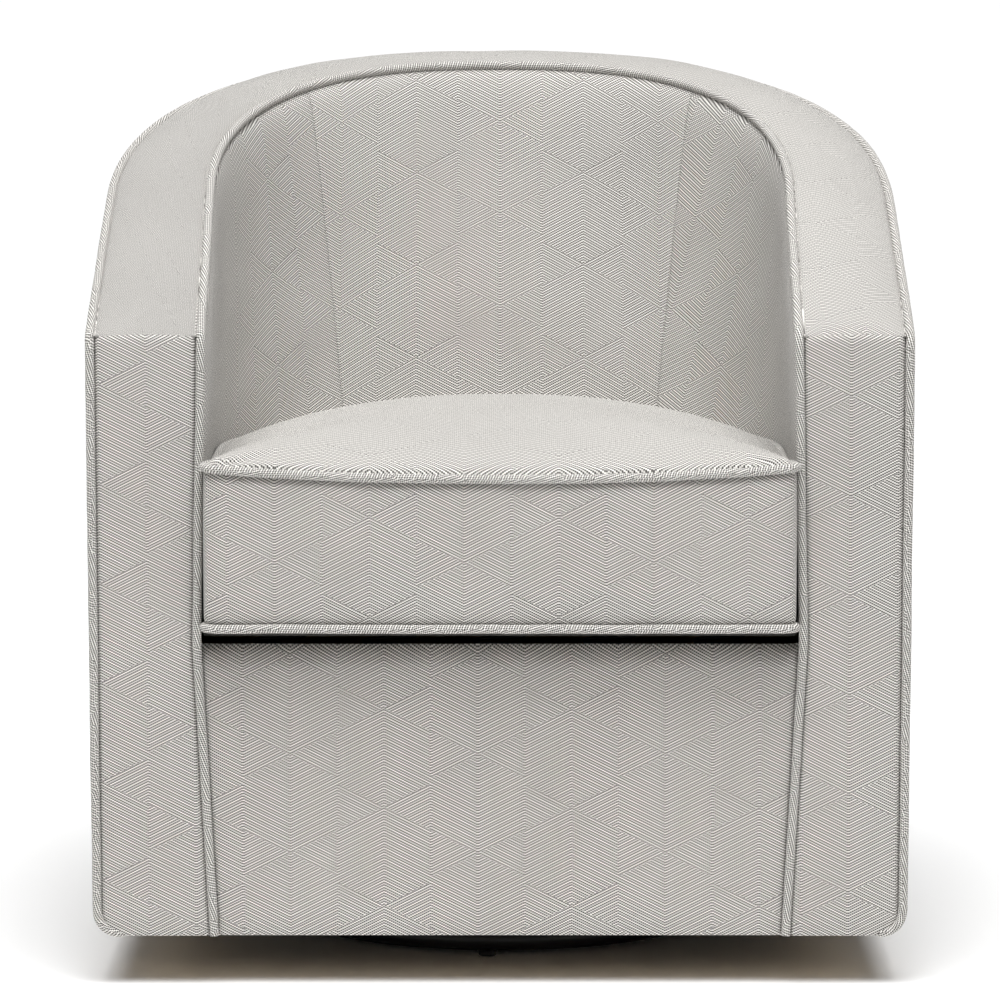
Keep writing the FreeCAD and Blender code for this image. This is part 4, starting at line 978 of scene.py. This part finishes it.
def dust_cover():
    """Thin cloth stapled under the seat frame, its far corners cut off, sagging a little."""
    low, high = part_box("dust_cover")
    cut = 0.060
    y = np.linspace(low.y, high.y, 60)[:, None]
    half = high.x - np.clip(y - (high.y - cut), 0, None)
    t = np.linspace(-1, 1, 60)[None, :]
    x = half * t
    sag = 0.0012 * np.sin(np.pi * (y - low.y) / (high.y - low.y)) * (1 - t ** 2)
    sag = sag + 0.0004 * (puckers(x, y, 0.08, 61) + 1) * (1 - t ** 4)
    z = high.z - 0.0007 - sag
    face = np.stack([x, y + 0 * x, z], -1)
    rear = face + (0, 0, 0.0006)
    piece = make_pad("underlining", face, rear, face[..., :2], bare("dust_cloth"))
    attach(piece, "seat")
    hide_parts("dust_cover")
    edge = 0.008
    right = resample([(high.x - edge, low.y + edge, 0), (high.x - edge, high.y - cut, 0)], 0.042)
    left = right * (-1, 1, 1)
    back = resample([(-high.x + cut, high.y - edge, 0), (high.x - cut, high.y - edge, 0)], 0.042)
    front = resample([(-high.x + 0.03, low.y + edge, 0), (high.x - 0.03, low.y + edge, 0)], 0.042)
    spots = np.concatenate([right, left, back, front])
    spots[:, 2] = high.z - 0.0012
    lengthways = np.concatenate([np.tile((0.0, 1.0, 0.0), (len(right) + len(left), 1)),
                                 np.tile((1.0, 0.0, 0.0), (len(back) + len(front), 1))])
    across = lengthways[:, [1, 0, 2]]
    staples = boxes("staples", spots, lengthways, across, (0.005, 0.0006, 0.0004), bare("zinc_steel"))
    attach(staples, "seat")


# ---- materials -----------------------------------------------------------------------------

def add(tree, kind, inputs=None, **settings):
    """Adds a shader node; each input is a value or another node's socket."""
    node = tree.nodes.new("ShaderNode" + kind)
    for key, value in settings.items():
        setattr(node, key, value)
    for key, value in (inputs or {}).items():
        if isinstance(value, bpy.types.NodeSocket):
            tree.links.new(value, node.inputs[key])
        else:
            node.inputs[key].default_value = value
    return node


def calc(tree, operation, *values):
    """Result of a math node."""
    return add(tree, "Math", dict(enumerate(values)), operation=operation).outputs[0]


def smooth(tree, value, low, high, to_low=0.0, to_high=1.0):
    """Value eased from one range into another."""
    inputs = {"Value": value, "From Min": low, "From Max": high, "To Min": to_low, "To Max": to_high}
    return add(tree, "MapRange", inputs, interpolation_type="SMOOTHSTEP").outputs[0]


def mixed(tree, share, first, second):
    """Colour between two, by a share."""
    node = add(tree, "Mix", {0: share, 6: first, 7: second}, data_type="RGBA")
    return node.outputs[2]


def start_material(name):
    """Empty material of that name with its tree, or the one already made and no tree."""
    old = bpy.data.materials.get(name)
    if old is not None:
        return old, None
    material = bpy.data.materials.new(name)
    material.use_nodes = True
    material.node_tree.nodes.clear()
    return material, material.node_tree


def finish_material(tree, inputs):
    """Adds the surface shader with its inputs, and the output."""
    shader = add(tree, "BsdfPrincipled", inputs)
    add(tree, "OutputMaterial", {"Surface": shader.outputs[0]})


def rgba(colour):
    """Colour with full opacity."""
    return (*colour, 1.0)


def place(tree):
    """Point on the object, in metres."""
    return add(tree, "TexCoord").outputs["Object"]


def noise(tree, where, scale, detail=2.0, stretch=(1, 1, 1)):
    """Noise with a stretch along each axis; scale is in features per metre."""
    mapped = add(tree, "Mapping", {"Vector": where, "Scale": stretch})
    inputs = {"Vector": mapped.outputs[0], "Scale": scale, "Detail": detail}
    return add(tree, "TexNoise", inputs).outputs[0]


def bumped(tree, height, distance, strength=1.0, before=None):
    """Normal raised by a height of so many metres, over an earlier bump if there is one."""
    inputs = {"Height": height, "Distance": distance, "Strength": strength}
    if before is not None:
        inputs["Normal"] = before
    return add(tree, "Bump", inputs).outputs[0]


def cover_material():
    """Woven upholstery: raised off-white ribs on taupe, slanting in chevron columns.

    Where two columns meet, triangles slanting the other way fold the ribs into square swirls.
    The ribs step from one warp thread to the next, so each is a row of short dashes.
    """
    material, tree = start_material("woven_chevron_cover")
    if tree is None:
        return material
    weave = bpy.context.scene.chair_fabric
    cloth = add(tree, "SeparateXYZ", {0: add(tree, "UVMap", uv_map="weave").outputs[0]})
    u, v = cloth.outputs[0], cloth.outputs[1]
    thread = calc(tree, "FLOOR", calc(tree, "DIVIDE", u, weave.thread))
    stepped = calc(tree, "MULTIPLY", calc(tree, "ADD", thread, 0.5), weave.thread)
    across = calc(tree, "PINGPONG", calc(tree, "DIVIDE", stepped, weave.column), 2.0)
    upward = calc(tree, "DIVIDE", v, weave.repeat)
    tall = weave.repeat / weave.column
    slant = weave.column * weave.ribs / weave.repeat * 0.5
    level = calc(tree, "MULTIPLY", calc(tree, "FRACT", upward), tall)
    above = calc(tree, "ABSOLUTE", calc(tree, "SUBTRACT", level, 0.5))
    below = calc(tree, "ABSOLUTE", calc(tree, "SUBTRACT", level, tall - 0.5))
    outer = calc(tree, "GREATER_THAN", across, 1.0)
    off_row = calc(tree, "MULTIPLY_ADD", outer, calc(tree, "SUBTRACT", above, below), below)
    off_edge = calc(tree, "ABSOLUTE", calc(tree, "SUBTRACT", across, 1.0))
    reach = calc(tree, "MULTIPLY_ADD", off_edge, 0.5, off_row)
    turned = calc(tree, "LESS_THAN", reach, 0.5)
    way = calc(tree, "MULTIPLY_ADD", turned, 2.0, -1.0)
    phase = calc(tree, "MULTIPLY_ADD", calc(tree, "MULTIPLY", across, slant), way,
                 calc(tree, "MULTIPLY", upward, float(weave.ribs)))
    rib = smooth(tree, calc(tree, "PINGPONG", phase, 0.5), 0.14, 0.36)
    bold = calc(tree, "PINGPONG", calc(tree, "ADD", phase, 0.5), 1.0)
    warp = calc(tree, "PINGPONG", calc(tree, "DIVIDE", u, weave.thread), 0.5)
    dash = smooth(tree, warp, 0.08, 0.32)
    fibre = noise(tree, add(tree, "UVMap", uv_map="weave").outputs[0], 900.0, 3.0, (1.0, 3.0, 1.0))
    drift = noise(tree, place(tree), 9.0, 2.0)
    raised = calc(tree, "MULTIPLY", rib, calc(tree, "MULTIPLY_ADD", bold, 0.3, 0.7))
    sunk = calc(tree, "SUBTRACT", 1.0, rib)
    border = calc(tree, "MULTIPLY", sunk, smooth(tree, warp, 0.08, 0.32, 0.26, 0.0))
    height = calc(tree, "MULTIPLY_ADD", dash, 0.15, raised)
    shade = calc(tree, "ADD", calc(tree, "ADD", raised, border),
                 calc(tree, "MULTIPLY_ADD", fibre, 0.3, -0.12))
    colour = mixed(tree, calc(tree, "SUBTRACT", shade, calc(tree, "MULTIPLY", drift, 0.06)),
                   rgba(weave.dark_yarn), rgba(weave.light_yarn))
    normal = bumped(tree, height, 0.0005, 0.8, bumped(tree, fibre, 0.0002, 0.5))
    finish_material(tree, {
        "Base Color": colour, "Roughness": 0.92, "Specular IOR Level": 0.2, "Normal": normal,
        "Sheen Weight": 0.12, "Sheen Roughness": 0.5})
    return material


def thin_cloth(name, colour, pale, scale):
    """Plain cloth of crossed threads: a wave each way, with loose fibres over it."""
    material, tree = start_material(name)
    if tree is None:
        return material
    where = add(tree, "SeparateXYZ", {0: add(tree, "UVMap", uv_map="weave").outputs[0]})
    warp = calc(tree, "PINGPONG", calc(tree, "DIVIDE", where.outputs[0], scale), 1.0)
    weft = calc(tree, "PINGPONG", calc(tree, "DIVIDE", where.outputs[1], scale), 1.0)
    height = calc(tree, "MULTIPLY", warp, weft)
    fibre = noise(tree, place(tree), 420.0, 4.0, (1.0, 0.5, 1.0))
    share = calc(tree, "ADD", calc(tree, "MULTIPLY", height, 0.5), calc(tree, "MULTIPLY", fibre, 0.5))
    finish_material(tree, {
        "Base Color": mixed(tree, share, rgba(linear(colour)), rgba(linear(pale))),
        "Roughness": 0.95, "Specular IOR Level": 0.1, "Normal": bumped(tree, share, 0.0003, 0.6)})
    return material


def wood(name, pale, deep, ring_scale, layers=0.0):
    """Timber: long grain streaks over slow rings, and flat plies where layers is their pitch."""
    material, tree = start_material(name)
    if tree is None:
        return material
    where = place(tree)
    rings = noise(tree, where, ring_scale, 3.0, (1.0, 0.12, 1.0))
    pores = noise(tree, where, 900.0, 2.0, (1.0, 0.04, 1.0))
    share = calc(tree, "ADD", calc(tree, "MULTIPLY", rings, 0.8), calc(tree, "MULTIPLY", pores, 0.4))
    colour = mixed(tree, smooth(tree, share, 0.35, 0.85), rgba(linear(pale)), rgba(linear(deep)))
    if layers:
        high = add(tree, "SeparateXYZ", {0: where}).outputs[2]
        ply = calc(tree, "PINGPONG", calc(tree, "DIVIDE", high, layers), 1.0)
        colour = mixed(tree, smooth(tree, ply, 0.42, 0.58, 0.0, 0.45), colour, rgba(linear(deep)))
    finish_material(tree, {
        "Base Color": colour, "Roughness": smooth(tree, rings, 0.3, 0.7, 0.55, 0.72),
        "Normal": bumped(tree, pores, 0.0002, 0.5)})
    return material


def painted_steel(name):
    """Black powder paint: fine orange peel, a little dust, and slightly uneven gloss."""
    material, tree = start_material(name)
    if tree is None:
        return material
    where = place(tree)
    peel = noise(tree, where, 700.0, 2.0)
    dust = noise(tree, where, 30.0, 5.0)
    colour = mixed(tree, smooth(tree, dust, 0.5, 0.8, 0.0, 0.25), rgba(linear("#0B0B0C")),
                   rgba(linear("#2A2928")))
    finish_material(tree, {
        "Base Color": colour, "Roughness": smooth(tree, dust, 0.3, 0.7, 0.34, 0.5),
        "Normal": bumped(tree, peel, 0.0001, 0.35)})
    return material


def bare_metal(name, pale, deep, rough, streak):
    """Bare or plated metal: brushed streaks, cloudy plating and uneven roughness."""
    material, tree = start_material(name)
    if tree is None:
        return material
    where = place(tree)
    cloud = noise(tree, where, 60.0, 4.0)
    brushed = noise(tree, where, 1500.0, 2.0, (1.0, streak, 1.0))
    finish_material(tree, {
        "Base Color": mixed(tree, cloud, rgba(linear(pale)), rgba(linear(deep))), "Metallic": 1.0,
        "Roughness": smooth(tree, cloud, 0.3, 0.7, rough, rough + 0.15),
        "Normal": bumped(tree, brushed, 0.00005, 0.4)})
    return material


def moulded(name, colour, rough):
    """Moulded polymer: faint mottling and a fine matt grain."""
    material, tree = start_material(name)
    if tree is None:
        return material
    where = place(tree)
    grain = noise(tree, where, 1200.0, 2.0)
    mottle = noise(tree, where, 80.0, 3.0)
    base = linear(colour)
    finish_material(tree, {
        "Base Color": mixed(tree, mottle, rgba(base), rgba([c * 0.8 for c in base])),
        "Roughness": smooth(tree, mottle, 0.3, 0.7, rough, rough + 0.1),
        "Normal": bumped(tree, grain, 0.00008, 0.4)})
    return material


def bare(slot):
    """Material of a slot or small fitting, made when first asked for."""
    makers = {
        # deck_felt is coloured near black as painted shade for the gap under the cushion's overhang.
        "deck_felt": lambda: thin_cloth("deck_felt", "#1E1B18", "#3A3530", 0.0011),
        "dust_cloth": lambda: thin_cloth("dust_cloth", "#131313", "#2A2A2B", 0.0008),
        "zipper_tape": lambda: thin_cloth("zipper_tape", "#8E857B", "#B5ADA3", 0.0006),
        "zipper_teeth": lambda: moulded("zipper_teeth", "#B8B1A7", 0.35),
        "zipper_nylon": lambda: moulded("zipper_nylon", "#A79F94", 0.4),
        "foam": lambda: moulded("foam", "#D8CFB8", 0.85),
        "hardwood": lambda: wood("hardwood", "#C9A06B", "#9A7040", 26.0),
        "plywood": lambda: wood("plywood", "#CFAE7C", "#94703F", 18.0, 0.0015),
        "black_steel": lambda: painted_steel("black_steel"),
        "zinc_steel": lambda: bare_metal("zinc_steel", "#B9BCBE", "#8F9396", 0.28, 1.0),
        "spring_steel": lambda: bare_metal("spring_steel", "#8C8A88", "#5F5E5D", 0.35, 0.1),
        "nylon": lambda: moulded("nylon", "#E3E1DB", 0.38),
        "woven_fabric": cover_material,
    }
    return makers[slot]()


def frame_materials():
    """Gives every node of the frame the material of its slot."""
    for part in frame["record"]["subparts"]:
        node = NODES[part["node"]]
        node.data.materials.clear()
        node.data.materials.append(bare(part["material_slot"]))


# ---- studio --------------------------------------------------------------------------------

def area_light(name, place_at, aim, size, power):
    """Rectangular light at a place, turned to an aim."""
    data = bpy.data.lights.new(name, "AREA")
    data.shape, data.size, data.size_y = "RECTANGLE", size[0], size[1]
    data.energy = power
    lamp = bpy.data.objects.new(name, data)
    bpy.context.scene.collection.objects.link(lamp)
    lamp.location = place_at
    way = [a - b for a, b in zip(aim, place_at)]
    level = math.hypot(way[0], way[1])
    lamp.rotation_euler = (math.atan2(level, -way[2]), 0, math.atan2(-way[0], way[1]))


def studio():
    """Pale floor, dim white surroundings, a soft ceiling, a softbox, and a long lens."""
    settings = bpy.context.scene.chair_stage
    span = 80.0
    corners = [(-span, -span, 0), (span, -span, 0), (span, span, 0), (-span, span, 0)]
    mesh = bpy.data.meshes.new("floor")
    mesh.from_pydata(corners, [], [(0, 1, 2, 3)])
    floor = bpy.data.objects.new("floor", mesh)
    bpy.context.scene.collection.objects.link(floor)
    material, tree = start_material("pale_floor")
    if tree is not None:
        cloud = noise(tree, place(tree), 3.0, 2.0)
        finish_material(tree, {
            "Base Color": mixed(tree, cloud, rgba(linear("#FCFCFC")), rgba(linear("#FFFFFF"))),
            "Roughness": 0.9})
    mesh.materials.append(material)
    scene = bpy.context.scene
    scene.view_settings.view_transform = "Standard"
    world = bpy.data.worlds.new("studio")
    world.use_nodes = True
    world.node_tree.nodes["Background"].inputs[0].default_value = (1.0, 1.0, 1.0, 1.0)
    world.node_tree.nodes["Background"].inputs[1].default_value = settings.surroundings
    scene.world = world
    ceiling = bpy.data.lights.new("ceiling", "SUN")
    ceiling.energy, ceiling.angle = settings.ceiling, math.radians(50)
    lamp = bpy.data.objects.new("ceiling", ceiling)
    scene.collection.objects.link(lamp)
    lamp.rotation_euler = (settings.ceiling_tilt, 0.0, 0.0)
    area_light("softbox", (0.0, -0.95, 2.6), (0.0, 0.15, 0.6), (1.4, 1.0), settings.softbox)
    camera = bpy.data.cameras.new("camera")
    camera.lens, camera.sensor_width = settings.lens, 36.0
    camera.clip_end = 100.0
    holder = bpy.data.objects.new("camera", camera)
    scene.collection.objects.link(holder)
    holder.location = (0.0, FRONT_Y - settings.distance, settings.eye_height)
    holder.rotation_euler = (math.pi / 2 - settings.pitch, 0.0, 0.0)
    scene.camera = holder


# ---- operators and panel -------------------------------------------------------------------

class CHAIR_OT_frame_materials(bpy.types.Operator):
    """Give the timber, steel and nylon of the frame their materials."""
    bl_idname = "chair.frame_materials"
    bl_label = "Frame materials"

    def execute(self, context):
        frame_materials()
        return {"FINISHED"}


class CHAIR_OT_arm_fronts(bpy.types.Operator):
    """Add the padded facings of both arms."""
    bl_idname = "chair.arm_fronts"
    bl_label = "Arm fronts"

    def execute(self, context):
        arm_front(1, ["arm_front_left"], (0.323, 0.571))
        arm_front(-1, ["arm_front_right"], (-0.282, 0.540))
        return {"FINISHED"}


class CHAIR_OT_top_band(bpy.types.Operator):
    """Add the crowned band over the arms and back."""
    bl_idname = "chair.top_band"
    bl_label = "Top band"

    def execute(self, context):
        top_band()
        return {"FINISHED"}


def front_left(z):
    """Stations of the left panels' front edge."""
    return np.full_like(np.asarray(z, float), BEHIND_WELT)


def front_right(z):
    """Stations of the right panels' front edge."""
    return np.full_like(np.asarray(z, float), 2 - BEHIND_WELT)


class CHAIR_OT_inside_panels(bpy.types.Operator):
    """Add the padded inside back and inside arms."""
    bl_idname = "chair.inside_panels"
    bl_label = "Inside panels"

    def execute(self, context):
        inside_panel("inside_back_pad", ["inside_back"], inner_seam, lambda z: 2 - inner_seam(z), 120,
                     (True, True), 61)
        inside_panel("inside_arm_pad_left", ["inside_arm_left"], front_left, inner_seam, 150,
                     (False, True), 62)
        inside_panel("inside_arm_pad_right", ["inside_arm_right"], lambda z: 2 - inner_seam(z),
                     front_right, 150, (True, False), 63)
        return {"FINISHED"}


class CHAIR_OT_outside_panels(bpy.types.Operator):
    """Add the outside back and outside arms, turned under at the skirt."""
    bl_idname = "chair.outside_panels"
    bl_label = "Outside panels"

    def execute(self, context):
        outside_panel("outside_back_cover", ["outside_back"], outer_seam, lambda z: 2 - outer_seam(z),
                      130, (True, True), 71)
        outside_panel("outside_arm_cover_left", ["outside_arm_left"], front_left, outer_seam, 150,
                      (False, True), 72)
        outside_panel("outside_arm_cover_right", ["outside_arm_right"], lambda z: 2 - outer_seam(z),
                      front_right, 150, (True, False), 73)
        return {"FINISHED"}


class CHAIR_OT_apron(bpy.types.Operator):
    """Add the facing under the cushion."""
    bl_idname = "chair.apron"
    bl_label = "Apron"

    def execute(self, context):
        apron()
        return {"FINISHED"}


class CHAIR_OT_welts(bpy.types.Operator):
    """Add the covered cords of the arm fronts and rims."""
    bl_idname = "chair.welts"
    bl_label = "Welts"

    def execute(self, context):
        welt("outer_welt_cord", ["outer_welt"], arm_outer_plain, outer_plan, OUTER_TOP_Z, outer_rim,
             0.0, SKIRT_ROUND)
        welt("inner_welt_cord", ["inner_welt"], lambda z: arm_inner_edge(z) + WELT_RECESS, inner_plan,
             INNER_TOP_Z, inner_rim, WELT_RECESS, 0.0)
        return {"FINISHED"}


def arm_outer_plain(z):
    """Half width over the arm fronts, without the rounded corner."""
    return outer_plan(np.zeros_like(np.asarray(z, float)), z)[0]


class CHAIR_OT_cushion(bpy.types.Operator):
    """Add the loose seat cushion with its welts and zipper."""
    bl_idname = "chair.cushion"
    bl_label = "Seat cushion"

    def execute(self, context):
        cushion()
        cushion_welts()
        zipper()
        return {"FINISHED"}


class CHAIR_OT_hidden_cloths(bpy.types.Operator):
    """Add the deck under the cushion and the cloth stapled under the frame."""
    bl_idname = "chair.hidden_cloths"
    bl_label = "Deck and dust cover"

    def execute(self, context):
        deck()
        dust_cover()
        return {"FINISHED"}


class CHAIR_OT_studio(bpy.types.Operator):
    """Add the floor, lights and camera."""
    bl_idname = "chair.studio"
    bl_label = "Studio"

    def execute(self, context):
        studio()
        return {"FINISHED"}


OPERATORS = (
    CHAIR_OT_frame_materials, CHAIR_OT_arm_fronts, CHAIR_OT_top_band, CHAIR_OT_inside_panels,
    CHAIR_OT_outside_panels, CHAIR_OT_apron, CHAIR_OT_welts, CHAIR_OT_cushion,
    CHAIR_OT_hidden_cloths, CHAIR_OT_studio,
)


class CHAIR_PT_panel(bpy.types.Panel):
    """Settings and steps of the chair."""
    bl_idname = "CHAIR_PT_panel"
    bl_label = "Glider Chair"
    bl_space_type = "VIEW_3D"
    bl_region_type = "UI"
    bl_category = "Glider Chair"

    def draw(self, context):
        for group in (context.scene.chair_fabric, context.scene.chair_shape, context.scene.chair_stage):
            for name in group.__annotations__:
                self.layout.prop(group, name)
        for operator in OPERATORS:
            self.layout.operator(operator.bl_idname)


GROUPS = {
    "chair_fabric": ChairFabricSettings, "chair_shape": ChairShapeSettings,
    "chair_stage": ChairStageSettings,
}


def register():
    for group in GROUPS.values():
        bpy.utils.register_class(group)
    for operator in OPERATORS:
        bpy.utils.register_class(operator)
    bpy.utils.register_class(CHAIR_PT_panel)
    for name, group in GROUPS.items():
        setattr(bpy.types.Scene, name, bpy.props.PointerProperty(type=group))


def unregister():
    for name in GROUPS:
        delattr(bpy.types.Scene, name)
    bpy.utils.unregister_class(CHAIR_PT_panel)
    for operator in reversed(OPERATORS):
        bpy.utils.unregister_class(operator)
    for group in reversed(list(GROUPS.values())):
        bpy.utils.unregister_class(group)


def main():
    register()
    bpy.ops.chair.frame_materials()
    bpy.ops.chair.arm_fronts()
    bpy.ops.chair.top_band()
    bpy.ops.chair.inside_panels()
    bpy.ops.chair.outside_panels()
    bpy.ops.chair.apron()
    bpy.ops.chair.welts()
    bpy.ops.chair.cushion()
    bpy.ops.chair.hidden_cloths()
    bpy.ops.chair.studio()


if __name__ == "__main__":
    main()
